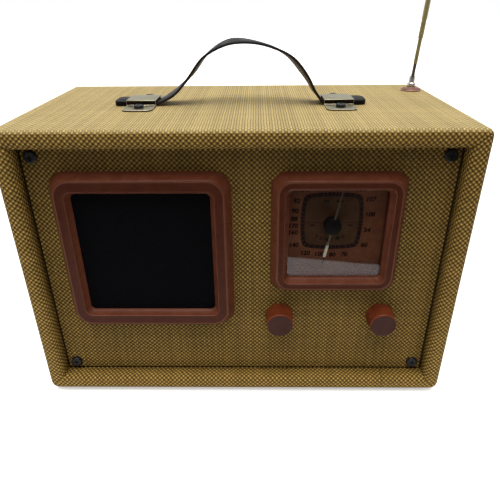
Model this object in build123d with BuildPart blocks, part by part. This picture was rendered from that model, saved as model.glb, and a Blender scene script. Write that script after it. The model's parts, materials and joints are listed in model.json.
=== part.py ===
from build123d import *
from math import cos, radians, sin
import os

# A portable wooden-cased AM/FM radio. Millimetres; x to the right, y to the back, z up.
# The origin is on the resting surface, midway between the sides and between the front lip
# and the rear edge.

# ---- driving dimensions ----
WIDTH, DEPTH, HEIGHT = 305.0, 160.0, 205.0   # cabinet over its cloth
FOOT_HEIGHT, FOOT_RADIUS = 3.0, 9.0
WALL = 12.0                # wall with the cloth on both faces
CLOTH = 0.8
TOP_CORNER, BOTTOM_CORNER = 5.2, 6.5
FRONT_ROUND, REAR_ROUND = 4.4, 2.0
LIP_DEPTH = 12.0           # front lip to the face of the baffle
BAFFLE_THICK = 8.0
HEM_FRONT, HEM_REAR = 14.0, 10.0   # how far the cloth turns in behind each rim
PANEL_THICK, PANEL_RECESS = 5.0, 5.0
CLEAT = 12.0
FIT = 0.3                  # gap between pieces that move past each other
RUNNING = 0.06             # radial clearance of a shaft in its bearing

SPEAKER = (-65.5, 119.5)   # x, z of the speaker's axis
SPEAKER_BEZEL, SPEAKER_OPENING = 119.5, (97.0, 96.0)
CONE_OPENING_R = 47.0
DIAL = (64.75, 134.0)      # x, z of the dial's axis
DIAL_BEZEL, DIAL_OPENING = 89.0, (70.6, 70.6)
BEZEL_PROUD = 8.0          # bezel face in front of the baffle
BEZEL_SLOPE = 3.5          # how far its sides lean in
BEVEL_IN, BEVEL_DEEP = 2.7, 5.0
TUNNEL_INNER, TUNNEL_OUTER = 67.0, 76.0
DIAL_AXIS = (62.4, 138.8)   # x, z of the pointer's shaft, off the middle of the window
POINTER_LEAN = 11.0        # degrees clockwise of upright
HUB_R, POINTER_BORE = 5.9, 3.4

VOLUME, TUNING = (27.5, 67.0), (102.0, 67.0)   # x, z of the knobs
KNOB_LENGTH, KNOB_BASE_R, KNOB_FACE_R = 14.2, 10.2, 9.5
FLUTES = 44
SHAFT_R = 3.0
KNOB_SOCKET = 10.0         # depth of the shaft in its knob
DRUM_R, SPINDLE_R, CORD_R = 29.2, 4.4, 0.4
CORD_GAP = 0.7             # cord centre line outside the drum's groove floor

CAP_X = (-72.0, 69.5)      # centres of the handle's end caps
CAP_SIZE = (21.0, 57.0)
CAP_RAISED, CAP_HEIGHT, CAP_METAL = 21.4, 4.5, 1.1
STRAP_WIDTH, STRAP_THICK = 19.4, 2.2
HEAD_LENGTH, HEAD_THICK = 9.0, 3.3

ANTENNA = (137.4, 49.0)    # x, y of the aerial's swivel
PIVOT_RISE, MAST_LEAN = 8.8, 3.6
MAST_LENGTH = 165.0

CELL_R, CELL_LENGTH = 13.0, 50.0

SCREW_R = 1.75             # wood screws of the baffle and the rear panel
SMALL_SCREW_R = 1.45       # screws of the handle caps and the loudspeaker

# ---- levels that follow from them ----
FRONT, REAR = -DEPTH / 2, DEPTH / 2
BASE, TOP = FOOT_HEIGHT, FOOT_HEIGHT + HEIGHT
MIDDLE_Z = BASE + HEIGHT / 2
SIDE = WIDTH / 2 - WALL + CLOTH              # inner face of the side boards
FLOOR, CEILING = BASE + WALL - CLOTH, TOP - WALL + CLOTH
FACE = FRONT + LIP_DEPTH                     # cloth face of the baffle
BOARD_FACE = FACE + CLOTH
BAFFLE_BACK = BOARD_FACE + BAFFLE_THICK
PANEL_BACK = REAR - PANEL_RECESS
PANEL_FACE = PANEL_BACK - PANEL_THICK
BEZEL_FACE = FACE - BEZEL_PROUD
WINDOW_FACE = BEZEL_FACE + BEVEL_DEEP + 1.0
PLATE_FACE = FACE + 7.0
baffle_screw_places = [(x, z) for x in (-132.5, 132.5) for z in (22.0, 189.0)]
rear_screw_places = [(x, z) for x in (-135, 135) for z in (30.0, MIDDLE_Z, 181.0)]
ear = 56.5 * cos(radians(45))
ear_places = [(SPEAKER[0] + a * ear, SPEAKER[1] + b * ear) for a in (-1, 1) for b in (-1, 1)]
CHASSIS_FACE, CHASSIS_METAL = -46.0, 1.2
CHASSIS_BACK = CHASSIS_FACE + CHASSIS_METAL
CORD_Y = -52.6             # plane of the dial cord
SHELF_Z = 91.0

os.makedirs("parts", exist_ok=True)


def save(piece, name):
    """Label one finished piece and write it."""
    piece.label = name
    export_step(piece, f"parts/{name}.step")


def upright(y):
    """Plane across the radio at depth y: its x is x, its y is height, it faces the front."""
    return Plane.XZ.offset(-y)


def slab(size, centre, front, back, corner=0.0):
    """Flat rectangular piece between two depths, with rounded corners."""
    with BuildPart() as piece:
        with BuildSketch(upright(back)):
            with Locations(centre):
                if corner:
                    RectangleRounded(size[0], size[1], corner)
                else:
                    Rectangle(size[0], size[1])
        extrude(amount=back - front)
    return piece.part


def block(low, high):
    """Box between two corners."""
    size = [b - a for a, b in zip(low, high)]
    with BuildPart() as piece:
        with Locations(tuple((a + b) / 2 for a, b in zip(low, high))):
            Box(*size)
    return piece.part


def turned(centre, profile):
    """Solid turned about a front-to-back axis through centre (x, z); profile is (radius, y)."""
    with BuildPart() as piece:
        with BuildSketch(Plane.XY.offset(centre[1])):
            with BuildLine():
                Polyline(*[(centre[0] + r, y) for r, y in profile], close=True)
            make_face()
        revolve(axis=Axis((centre[0], 0, centre[1]), (0, 1, 0)))
    return piece.part


def turned_on(plane, profile):
    """Solid turned about a plane's own z axis; profile is (radius, height) on that plane."""
    with BuildPart() as piece:
        with BuildSketch(Plane(plane.origin, x_dir=plane.x_dir, z_dir=-plane.y_dir)):
            with BuildLine():
                Polyline(*profile, close=True)
            make_face()
        revolve(axis=Axis(plane.origin, plane.z_dir))
    return piece.part


def pan_screws(places, facing, head_r, head_h, shank_r, length):
    """Cross-recessed pan-head screws whose heads seat at the given points and face along facing."""
    with BuildPart() as screw:
        Cylinder(head_r, head_h, align=(Align.CENTER, Align.CENTER, Align.MIN))
        fillet(screw.edges().group_by(Axis.Z)[-1], head_h * 0.45)
        Cylinder(shank_r, length, align=(Align.CENTER, Align.CENTER, Align.MAX))
        with Locations((0, 0, head_h)):
            Box(head_r, head_r * 0.22, head_h * 0.9, mode=Mode.SUBTRACT)
            Box(head_r * 0.22, head_r, head_h * 0.9, mode=Mode.SUBTRACT)
    with BuildPart() as group:
        for place in places:
            add(Plane(place, z_dir=facing).location * screw.part)
    return group.part


# ---- cabinet: four boards under one cloth covering ----
def cabinet_ring(inset):
    """The four walls as one ring, with every outer and inner face moved in by inset."""
    inner = WALL - inset
    with BuildPart() as ring:
        with BuildSketch(upright(REAR - inset)) as outline:
            with Locations((0, MIDDLE_Z)):
                Rectangle(WIDTH - 2 * inset, HEIGHT - 2 * inset)
            corners = outline.vertices().group_by(Axis.Y)
            fillet(corners[-1], TOP_CORNER - inset)
            fillet(outline.vertices().group_by(Axis.Y)[0], BOTTOM_CORNER - inset)
            with Locations((0, MIDDLE_Z)):
                Rectangle(WIDTH - 2 * inner, HEIGHT - 2 * inner, mode=Mode.SUBTRACT)
        extrude(amount=DEPTH - 2 * inset)
        fillet(ring.faces().sort_by(Axis.Y)[0].edges(), FRONT_ROUND - inset)
        fillet(ring.faces().sort_by(Axis.Y)[-1].edges(), REAR_ROUND - inset)
    return ring.part


core = cabinet_ring(CLOTH)
cap_screw_places = [(x, y, TOP + CAP_METAL) for x in CAP_X for y in (-19.5, 19.5)]
with BuildPart() as top_holes:
    with Locations((*ANTENNA, TOP)):
        Cylinder(2.0 + RUNNING, 3 * WALL)
    with Locations(*cap_screw_places):
        Cylinder(SMALL_SCREW_R, 22)
with BuildPart() as top_board:
    add(core)
    add(block((-SIDE, FRONT, MIDDLE_Z), (SIDE, REAR, TOP)), mode=Mode.INTERSECT)
    add(top_holes.part, mode=Mode.SUBTRACT)
save(top_board.part, "top_board")
with BuildPart() as bottom_board:
    add(core)
    add(block((-SIDE, FRONT, BASE), (SIDE, REAR, MIDDLE_Z)), mode=Mode.INTERSECT)
save(bottom_board.part, "bottom_board")
with BuildPart() as side_boards:
    add(core)
    add(block((-SIDE, FRONT, BASE), (SIDE, REAR, TOP)), mode=Mode.SUBTRACT)
save(side_boards.part, "side_boards")

with BuildPart() as tweed_covering:
    add(cabinet_ring(0.0))
    add(core, mode=Mode.SUBTRACT)
    add(block((-SIDE, FRONT + HEM_FRONT, FLOOR), (SIDE, REAR - HEM_REAR, CEILING)), mode=Mode.SUBTRACT)
    add(top_holes.part, mode=Mode.SUBTRACT)
save(tweed_covering.part, "tweed_covering")

with BuildPart() as rubber_feet:
    for x in (-128, 128):
        for y in (-58, 58):
            with Locations((x, y, 0)):
                Cone(FOOT_RADIUS - 1, FOOT_RADIUS, FOOT_HEIGHT, align=(Align.CENTER, Align.CENTER, Align.MIN))
save(rubber_feet.part, "rubber_feet")

with BuildPart() as panel_cleats:
    for side in (-1, 1):
        inner, outer = sorted((side * SIDE, side * (SIDE - CLEAT - 2)))
        add(block((inner, BAFFLE_BACK, FLOOR), (outer, BAFFLE_BACK + CLEAT, CEILING)))
        inner, outer = sorted((side * SIDE, side * (SIDE - CLEAT)))
        add(block((inner, PANEL_FACE - CLEAT, FLOOR), (outer, PANEL_FACE, CEILING)))
    with BuildSketch(upright(PANEL_FACE)):
        with Locations(*baffle_screw_places, *rear_screw_places):
            Circle(SCREW_R)
    extrude(amount=PANEL_FACE - BAFFLE_BACK, mode=Mode.SUBTRACT)
save(panel_cleats.part, "panel_cleats")

# ---- baffle ----
baffle_size = (WIDTH - 2 * WALL - 0.4, HEIGHT - 2 * WALL - 0.4)


def baffle_layer(front, back):
    """Sheet that fills the cabinet's front, cut for the speaker, dial, shafts and screws."""
    with BuildPart() as layer:
        add(slab(baffle_size, (0, MIDDLE_Z), front, back))
        with BuildSketch(upright(back)):
            with Locations(SPEAKER):
                Circle(CONE_OPENING_R)
            with Locations(DIAL):
                RectangleRounded(TUNNEL_OUTER + 0.4, TUNNEL_OUTER + 0.4, 2)
            with Locations(VOLUME, TUNING):
                Circle(SHAFT_R + 1.5)
            with Locations(*baffle_screw_places):
                Circle(SCREW_R)
            if back == BAFFLE_BACK:
                with Locations(*ear_places):
                    Circle(SMALL_SCREW_R)
        extrude(amount=back - front, mode=Mode.SUBTRACT)
    return layer.part


save(baffle_layer(BOARD_FACE, BAFFLE_BACK), "baffle_board")
save(baffle_layer(FACE, BOARD_FACE), "baffle_covering")
screw_seats = [(x, FACE, z) for x, z in baffle_screw_places]
save(pan_screws(screw_seats, (0, -1, 0), 4.2, 2.4, SCREW_R, 18), "baffle_screws")


# ---- bezels ----
def bezel(centre, base, opening, outer_corner, inner_corner):
    """Square moulded frame: leaning sides, flat face, bevelled opening."""
    back_opening = (opening[0] - 2 * BEVEL_IN, opening[1] - 2 * BEVEL_IN)
    with BuildPart() as frame:
        with BuildSketch(upright(FACE)):
            with Locations(centre):
                RectangleRounded(base, base, outer_corner)
        with BuildSketch(upright(BEZEL_FACE)):
            with Locations(centre):
                RectangleRounded(base - 2 * BEZEL_SLOPE, base - 2 * BEZEL_SLOPE, outer_corner - 1)
        loft()
        fillet(frame.faces().sort_by(Axis.Y)[0].edges(), 1.6)
        with BuildSketch(upright(BEZEL_FACE)):
            with Locations(centre):
                RectangleRounded(*opening, inner_corner)
        with BuildSketch(upright(BEZEL_FACE + BEVEL_DEEP)):
            with Locations(centre):
                RectangleRounded(*back_opening, inner_corner - 1.5)
        loft(mode=Mode.SUBTRACT)
        add(slab(back_opening, centre, BEZEL_FACE + BEVEL_DEEP, FACE, inner_corner - 1.5), mode=Mode.SUBTRACT)
    return frame.part


CLOTH_SIZE = (99.6, 98.6)
with BuildPart() as speaker_bezel:
    add(bezel(SPEAKER, SPEAKER_BEZEL, SPEAKER_OPENING, 12, 5))
    add(slab((100, 99), SPEAKER, FACE - 2.5, FACE, 2), mode=Mode.SUBTRACT)
save(speaker_bezel.part, "speaker_bezel")

save(slab(CLOTH_SIZE, SPEAKER, FACE - 2.5, FACE - 2.0, 2), "grille_cloth")
with BuildPart() as grille_board:
    add(slab(CLOTH_SIZE, SPEAKER, FACE - 2.0, FACE, 2))
    add(turned(SPEAKER, [(0, FACE - 2), (CONE_OPENING_R, FACE - 2), (CONE_OPENING_R, FACE), (0, FACE)]),
        mode=Mode.SUBTRACT)
save(grille_board.part, "grille_board")

with BuildPart() as dial_bezel:
    add(bezel(DIAL, DIAL_BEZEL, DIAL_OPENING, 10, 4.5))
    add(slab((TUNNEL_OUTER, TUNNEL_OUTER), DIAL, FACE, PLATE_FACE, 2))
    add(slab((TUNNEL_INNER, TUNNEL_INNER), DIAL, WINDOW_FACE, PLATE_FACE, 2), mode=Mode.SUBTRACT)
    add(slab((72, 72), DIAL, WINDOW_FACE, WINDOW_FACE + 1, 2), mode=Mode.SUBTRACT)
save(dial_bezel.part, "dial_bezel")
save(slab((71.8, 71.8), DIAL, WINDOW_FACE, WINDOW_FACE + 1, 1.9), "dial_window")

# ---- loudspeaker ----
BASKET_BACK = BAFFLE_BACK + 25.2
with BuildPart() as speaker_basket:
    add(turned(SPEAKER, [
        (60, BAFFLE_BACK), (60, BAFFLE_BACK + 1.5), (53.5, BAFFLE_BACK + 1.5),
        (31.2, BASKET_BACK - 1.4), (31.2, BASKET_BACK), (14, BASKET_BACK), (14, BASKET_BACK - 1.2),
        (29.9, BASKET_BACK - 1.2), (51.9, BAFFLE_BACK + 2), (51.9, BAFFLE_BACK)]))
    with BuildSketch(upright(BASKET_BACK - 4)):
        with Locations(SPEAKER):
            with PolarLocations(40, 4, start_angle=0):
                SlotOverall(28, 16, rotation=90)
    extrude(amount=15, mode=Mode.SUBTRACT)
    with BuildSketch(upright(BAFFLE_BACK + 1.5)):
        with Locations(SPEAKER):
            with PolarLocations(56.5, 4, start_angle=45):
                Circle(1.5)
    extrude(amount=1.5, mode=Mode.SUBTRACT)
save(speaker_basket.part, "speaker_basket")

save(turned(SPEAKER, [
    (0, BASKET_BACK - 4), (8, BASKET_BACK - 4), (8, BASKET_BACK + 12), (12, BASKET_BACK + 12),
    (12, BASKET_BACK), (30, BASKET_BACK), (30, BASKET_BACK + 12), (28, BASKET_BACK + 12),
    (28, BASKET_BACK + 15), (0, BASKET_BACK + 15)]), "speaker_magnet")

save(turned(SPEAKER, [
    (51.9, BAFFLE_BACK + 1.0), (51.9, BAFFLE_BACK + 1.8), (45, BAFFLE_BACK + 1.8),
    (10, BASKET_BACK - 5.4), (9.6, BASKET_BACK - 5.4), (9.6, BASKET_BACK + 6), (9, BASKET_BACK + 6),
    (9, BASKET_BACK - 6), (44.6, BAFFLE_BACK + 1.0)]), "speaker_cone")

ear_seats = [(x, BAFFLE_BACK + 1.5, z) for x, z in ear_places]
save(pan_screws(ear_seats, (0, 1, 0), 3.0, 1.8, SMALL_SCREW_R, 7), "speaker_screws")

# ---- dial ----
plate_size = (TUNNEL_OUTER - 0.4, TUNNEL_OUTER - 0.4)
with BuildPart() as dial_plate:
    add(slab(plate_size, DIAL, PLATE_FACE, PLATE_FACE + 0.8, 2))
    add(turned(DIAL_AXIS, [(0, PLATE_FACE), (3.6, PLATE_FACE), (3.6, PLATE_FACE + 1), (0, PLATE_FACE + 1)]),
        mode=Mode.SUBTRACT)
save(dial_plate.part, "dial_plate")

POINTER_FACE, POINTER_METAL = PLATE_FACE - 6.6, 0.4
POINTER_BACK = POINTER_FACE + POINTER_METAL
HUB_FACE, SHAFT_END = POINTER_FACE - 0.7, POINTER_FACE + 0.6
turn = radians(POINTER_LEAN)
pointer_plane = Plane((DIAL_AXIS[0], POINTER_BACK, DIAL_AXIS[1]), x_dir=(cos(turn), 0, -sin(turn)),
                      z_dir=(0, -1, 0))
with BuildPart() as dial_pointer:
    with BuildSketch(pointer_plane):
        with BuildLine():
            Polyline((-0.4, 28), (0.4, 28), (0.7, 4), (0.6, -12), (1.0, -14), (1.0, -22.5), (0.5, -24),
                     (0.5, -29), (-0.5, -29), (-0.5, -24), (-1.0, -22.5), (-1.0, -14), (-0.6, -12),
                     (-0.7, 4), close=True)
        make_face()
        Circle(4.5)
        Circle(POINTER_BORE, mode=Mode.SUBTRACT)
    extrude(amount=POINTER_METAL)
save(dial_pointer.part, "dial_pointer")

save(turned(DIAL_AXIS, [
    (0, HUB_FACE), (HUB_R - 0.6, HUB_FACE), (HUB_R, HUB_FACE + 0.4), (HUB_R, POINTER_FACE),
    (POINTER_BORE, POINTER_FACE), (POINTER_BORE, POINTER_BACK), (HUB_R, POINTER_BACK),
    (HUB_R, PLATE_FACE - 0.8), (SHAFT_R, PLATE_FACE - 0.8), (SHAFT_R, SHAFT_END), (0, SHAFT_END)]),
    "pointer_hub")

GROOVE = (CORD_Y - 0.8, CORD_Y + 0.8)
save(turned(DIAL_AXIS, [
    (SHAFT_R, CORD_Y - 3.6), (8, CORD_Y - 3.6), (8, CORD_Y - 2.0), (DRUM_R + 1.8, CORD_Y - 2.0),
    (DRUM_R + 1.8, CORD_Y - 1.6), (DRUM_R, GROOVE[0]), (DRUM_R, GROOVE[1]), (DRUM_R + 1.8, CORD_Y + 1.6),
    (DRUM_R + 1.8, CORD_Y + 2.0), (8, CORD_Y + 2.0), (8, CORD_Y + 4.0), (SHAFT_R, CORD_Y + 4.0)]),
    "dial_drum")

CAPACITOR_BACK = -18.0
save(turned(DIAL_AXIS, [
    (0, SHAFT_END), (SHAFT_R, SHAFT_END), (SHAFT_R, CAPACITOR_BACK - 4), (0, CAPACITOR_BACK - 4)]),
    "capacitor_shaft")
bore = SHAFT_R + RUNNING
with BuildPart() as tuning_capacitor:
    add(slab((34, 34), DIAL_AXIS, CHASSIS_BACK, CAPACITOR_BACK, 2))
    add(turned(DIAL_AXIS, [(0, CHASSIS_BACK), (bore, CHASSIS_BACK), (bore, CAPACITOR_BACK - 3.5),
                      (0, CAPACITOR_BACK - 3.5)]), mode=Mode.SUBTRACT)
save(tuning_capacitor.part, "tuning_capacitor")


# ---- the tuning cord: an open belt round the drum and the spindle ----
def belt_path(big, big_r, small, small_r, y):
    """Closed wire of two arcs and their outer tangents, in the plane at depth y."""
    a = Vector(big[0], y, big[1])
    b = Vector(small[0], y, small[1])
    along = (b - a).normalized()
    across = Vector(-along.Z, 0, along.X)
    lean = (big_r - small_r) / (b - a).length
    rise = (1 - lean ** 2) ** 0.5
    ends = []
    for side in (1, -1):
        normal = along * lean + across * (side * rise)
        ends.append((a + normal * big_r, b + normal * small_r))
    with BuildLine() as path:
        Line(*ends[0])
        ThreePointArc(ends[0][1], b + along * small_r, ends[1][1])
        Line(ends[1][1], ends[1][0])
        ThreePointArc(ends[1][0], a - along * big_r, ends[0][0])
    return path


cord_drum_r = DRUM_R + CORD_GAP
cord_spindle_r = SPINDLE_R + CORD_GAP
cord_path = belt_path(DIAL_AXIS, cord_drum_r, TUNING, cord_spindle_r, CORD_Y)
start = cord_path.wire()
with BuildPart() as dial_cord:
    with BuildSketch(Plane(start @ 0, z_dir=start % 0)):
        Circle(CORD_R)
    sweep(path=start)
save(dial_cord.part, "dial_cord")

# ---- controls ----
KNOB_BACK = FACE - FIT
KNOB_FACE = KNOB_BACK - KNOB_LENGTH


def knob(centre):
    """Fluted knob with a plain collar, slightly narrower at its face."""
    with BuildPart() as grip:
        with BuildSketch(upright(KNOB_BACK)):
            with Locations(centre):
                Circle(KNOB_BASE_R)
                with PolarLocations(KNOB_BASE_R + 0.35, FLUTES):
                    Circle(0.6, mode=Mode.SUBTRACT)
        extrude(amount=KNOB_LENGTH)
        add(turned(centre, [
            (0, KNOB_BACK), (KNOB_BASE_R, KNOB_BACK), (KNOB_BASE_R, KNOB_BACK - 1),
            (KNOB_FACE_R, KNOB_FACE + 0.9), (KNOB_FACE_R - 0.9, KNOB_FACE), (0, KNOB_FACE)]),
            mode=Mode.INTERSECT)
        add(turned(centre, [
            (0, KNOB_BACK), (SHAFT_R, KNOB_BACK), (SHAFT_R, KNOB_BACK - KNOB_SOCKET),
            (0, KNOB_BACK - KNOB_SOCKET)]),
            mode=Mode.SUBTRACT)
    return grip.part


save(knob(VOLUME), "volume_knob")
save(knob(TUNING), "tuning_knob")

SOCKET_END = KNOB_BACK - KNOB_SOCKET
POT_BACK = CHASSIS_BACK + 11
save(turned(VOLUME, [
    (0, SOCKET_END), (SHAFT_R, SOCKET_END), (SHAFT_R, POT_BACK - 3), (0, POT_BACK - 3)]), "volume_shaft")
save(turned(VOLUME, [
    (bore, CHASSIS_FACE - 5), (4.4, CHASSIS_FACE - 5), (4.4, CHASSIS_BACK), (12, CHASSIS_BACK),
    (12, POT_BACK), (0, POT_BACK), (0, POT_BACK - 2.5), (bore, POT_BACK - 2.5)]), "volume_control")

save(turned(TUNING, [
    (0, SOCKET_END), (SHAFT_R, SOCKET_END), (SHAFT_R, CORD_Y - 2), (SPINDLE_R + 1.6, CORD_Y - 2),
    (SPINDLE_R + 1.6, CORD_Y - 1.6), (SPINDLE_R, GROOVE[0]), (SPINDLE_R, GROOVE[1]),
    (SPINDLE_R + 1.6, CORD_Y + 1.6), (SPINDLE_R + 1.6, CORD_Y + 2), (SHAFT_R, CORD_Y + 2),
    (SHAFT_R, CHASSIS_BACK + 8), (0, CHASSIS_BACK + 8)]), "tuning_spindle")
save(turned(TUNING, [
    (bore, CHASSIS_FACE - 2), (5, CHASSIS_FACE - 2), (5, CHASSIS_BACK), (6.5, CHASSIS_BACK),
    (6.5, CHASSIS_BACK + 2), (bore, CHASSIS_BACK + 2)]), "spindle_bushing")

# ---- chassis and electronics ----
CHASSIS_X, CHASSIS_Z = (9.0, 121.0), (50.0, 176.0)
with BuildPart() as chassis_plate:
    add(block((CHASSIS_X[0], CHASSIS_FACE, CHASSIS_Z[0]), (CHASSIS_X[1], CHASSIS_BACK, CHASSIS_Z[1])))
    for z in (CHASSIS_Z[0], CHASSIS_Z[1] - CHASSIS_METAL):
        add(block((CHASSIS_X[0], BAFFLE_BACK, z), (CHASSIS_X[1], CHASSIS_FACE, z + CHASSIS_METAL)))
    add(block((CHASSIS_X[0], CHASSIS_BACK, SHELF_Z), (CHASSIS_X[1], 30, SHELF_Z + CHASSIS_METAL)))
    for centre, radius in ((DIAL_AXIS, 4.5), (VOLUME, 4.4), (TUNING, 5.0)):
        add(turned(centre, [
            (0, CHASSIS_FACE), (radius, CHASSIS_FACE), (radius, CHASSIS_BACK), (0, CHASSIS_BACK)]),
            mode=Mode.SUBTRACT)
save(chassis_plate.part, "chassis_plate")

BOARD_Z = SHELF_Z + CHASSIS_METAL + 4
with BuildPart() as circuit_board:
    add(block((14, -42, BOARD_Z), (116, 28, BOARD_Z + 1.6)))
    with Locations(*[(x, y, BOARD_Z) for x in (20, 110) for y in (-36, 22)]):
        Cylinder(2.5, 4, align=(Align.CENTER, Align.CENTER, Align.MAX))
save(circuit_board.part, "circuit_board")

with BuildPart() as if_cans:
    with Locations(*[(x, y, BOARD_Z + 1.6) for x, y in ((28, 12), (46, 12), (64, 12), (28, -8))]):
        Box(10, 10, 14, align=(Align.CENTER, Align.CENTER, Align.MIN))
save(if_cans.part, "if_cans")

ROD = (-15.0, 182.0)       # y, z of the ferrite rod
ROD_R = 5.0
rod_plane = Plane(origin=(0, *ROD), z_dir=(1, 0, 0))
save(turned_on(rod_plane, [(0, -20), (ROD_R, -20), (ROD_R, 122), (0, 122)]), "ferrite_rod")
save(turned_on(rod_plane, [(ROD_R, 20), (6.5, 20), (6.5, 58), (ROD_R, 58)]), "ferrite_coil")
with BuildPart() as rod_brackets:
    for x in (0, 102):
        add(block((x - 3, ROD[0] - 8, ROD[1] - 7), (x + 3, ROD[0] + 8, CEILING)))
    with BuildSketch(Plane(origin=(-10, *ROD), z_dir=(1, 0, 0))):
        Circle(ROD_R)
    extrude(amount=130, mode=Mode.SUBTRACT)
save(rod_brackets.part, "rod_brackets")

lead_points = [(-38, -26, 101), (-24, -20, 101), (-10, -12, 98), (2, -6, 100), (14.2, -2, BOARD_Z + 2.7)]
with BuildPart() as speaker_leads:
    with BuildLine() as lead_path:
        FilletPolyline(*lead_points, radius=6)
    with BuildSketch(Plane(lead_path.wire() @ 0, z_dir=lead_path.wire() % 0)):
        Circle(1.0)
    sweep(path=lead_path.wire())
save(speaker_leads.part, "speaker_leads")

# ---- batteries ----
BOX_X, BOX_WALL = 52.5, 2.0
CELL_Z = FLOOR + BOX_WALL + CELL_R + 1
CELL_ROWS = (27.0, 54.5)
with BuildPart() as battery_box:
    add(block((-BOX_X - BOX_WALL, 11, FLOOR), (BOX_X + BOX_WALL, PANEL_FACE, CELL_Z + CELL_R + 3)))
    add(block((-BOX_X, 13, FLOOR + BOX_WALL), (BOX_X, PANEL_FACE, CELL_Z + CELL_R + 1)), mode=Mode.SUBTRACT)
save(battery_box.part, "battery_box")


def along_x(y, z, radius, low, high):
    """Round piece that lies along x."""
    line = Plane(origin=(0, y, z), z_dir=(1, 0, 0))
    return turned_on(line, [(0, low), (radius, low), (radius, high), (0, high)])


spring_end = -BOX_X + 4
with BuildPart() as battery_cells:
    for y in CELL_ROWS:
        for number in (0, 1):
            low = spring_end + number * CELL_LENGTH
            add(along_x(y, CELL_Z, CELL_R, low, low + CELL_LENGTH - 1.5))
            add(along_x(y, CELL_Z, 3.5, low + CELL_LENGTH - 1.5, low + CELL_LENGTH - 0.02))
save(battery_cells.part, "battery_cells")

with BuildPart() as battery_springs:
    for y in CELL_ROWS:
        for ring in range(5):
            low = -BOX_X + ring * 0.8
            add(along_x(y, CELL_Z, 5.0 - 0.5 * ring, low, low + 0.8))
        add(along_x(y, CELL_Z, 6, spring_end + 2 * CELL_LENGTH, BOX_X))
save(battery_springs.part, "battery_springs")

# ---- rear panel and what it carries ----
DOOR_X, DOOR_Z = 53.0, (17.2, 44.2)          # opening: half width, and bottom and top
HINGE_Y, HINGE_Z = PANEL_FACE + 2.5, DOOR_Z[0] + FIT + 1.5
BAND, EARPHONE, POWER = (78.0, 62.0), (100.0, 62.0), (118.0, 62.0)
panel_size = (WIDTH - 2 * WALL - 0.6, HEIGHT - 2 * WALL - 0.6)
with BuildPart() as rear_panel:
    add(slab(panel_size, (0, MIDDLE_Z), PANEL_FACE, PANEL_BACK))
    with BuildSketch(upright(PANEL_BACK)):
        with Locations((0, sum(DOOR_Z) / 2)):
            Rectangle(2 * DOOR_X, DOOR_Z[1] - DOOR_Z[0])
        with Locations(*[(SPEAKER[0], SPEAKER[1] + 11 * row) for row in range(-3, 4)]):
            SlotOverall(80, 4.5)
        with Locations(BAND):
            Rectangle(17, 5)
        with Locations(EARPHONE):
            Circle(4)
        with Locations(POWER):
            Circle(5.5)
        with Locations(*rear_screw_places):
            Circle(SCREW_R)
    extrude(amount=PANEL_THICK, mode=Mode.SUBTRACT)
    add(along_x(HINGE_Y, HINGE_Z, 1.0 + RUNNING, -DOOR_X - 2.4, DOOR_X + 2.4), mode=Mode.SUBTRACT)
save(rear_panel.part, "rear_panel")
rear_seats = [(x, PANEL_BACK, z) for x, z in rear_screw_places]
save(pan_screws(rear_seats, (0, 1, 0), 3.6, 2.2, SCREW_R, 16), "rear_screws")

with BuildPart() as battery_door:
    add(block((-DOOR_X + FIT, HINGE_Y - 1.5, HINGE_Z), (DOOR_X - FIT, HINGE_Y + 1.5, DOOR_Z[1] - FIT)))
    add(along_x(HINGE_Y, HINGE_Z, 1.5, -DOOR_X + FIT, DOOR_X - FIT))
    add(along_x(HINGE_Y, HINGE_Z, 1.0, -DOOR_X - 2, DOOR_X + 2))
    add(block((-7, HINGE_Y + 1.5, DOOR_Z[1] - 5), (7, HINGE_Y + 3.2, DOOR_Z[1] - 2.5)))
save(battery_door.part, "battery_door")

with BuildPart() as band_switch_body:
    add(slab((24, 9), BAND, PANEL_FACE - 8, PANEL_FACE, 0.8))
    add(slab((14, 4), BAND, PANEL_FACE - 6, PANEL_FACE), mode=Mode.SUBTRACT)
save(band_switch_body.part, "band_switch_body")
SLIDER_X = BAND[0] - 3.4
with BuildPart() as band_switch_slider:
    add(slab((6.4, 3.4), (SLIDER_X, BAND[1]), PANEL_FACE - 5.5, PANEL_BACK + 1.6))
save(band_switch_slider.part, "band_switch_slider")

save(turned(EARPHONE, [
    (1.8, PANEL_BACK + 1.4), (3.0, PANEL_BACK + 1.4), (3.0, PANEL_BACK), (4, PANEL_BACK),
    (4, PANEL_FACE), (5.5, PANEL_FACE), (5.5, PANEL_FACE - 11), (0, PANEL_FACE - 11),
    (0, PANEL_FACE - 10), (1.8, PANEL_FACE - 10)]), "earphone_jack")
with BuildPart() as dc_jack:
    add(turned(POWER, [
        (3.2, PANEL_BACK + 0.8), (6.5, PANEL_BACK + 0.8), (6.5, PANEL_BACK), (5.5, PANEL_BACK),
        (5.5, PANEL_FACE - 12), (0, PANEL_FACE - 12), (0, PANEL_FACE - 10), (3.2, PANEL_FACE - 10)]))
    add(turned(POWER, [
        (0, PANEL_FACE - 10), (1.0, PANEL_FACE - 10), (1.0, PANEL_BACK - 1), (0, PANEL_BACK - 1)]))
save(dc_jack.part, "dc_jack")

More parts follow.
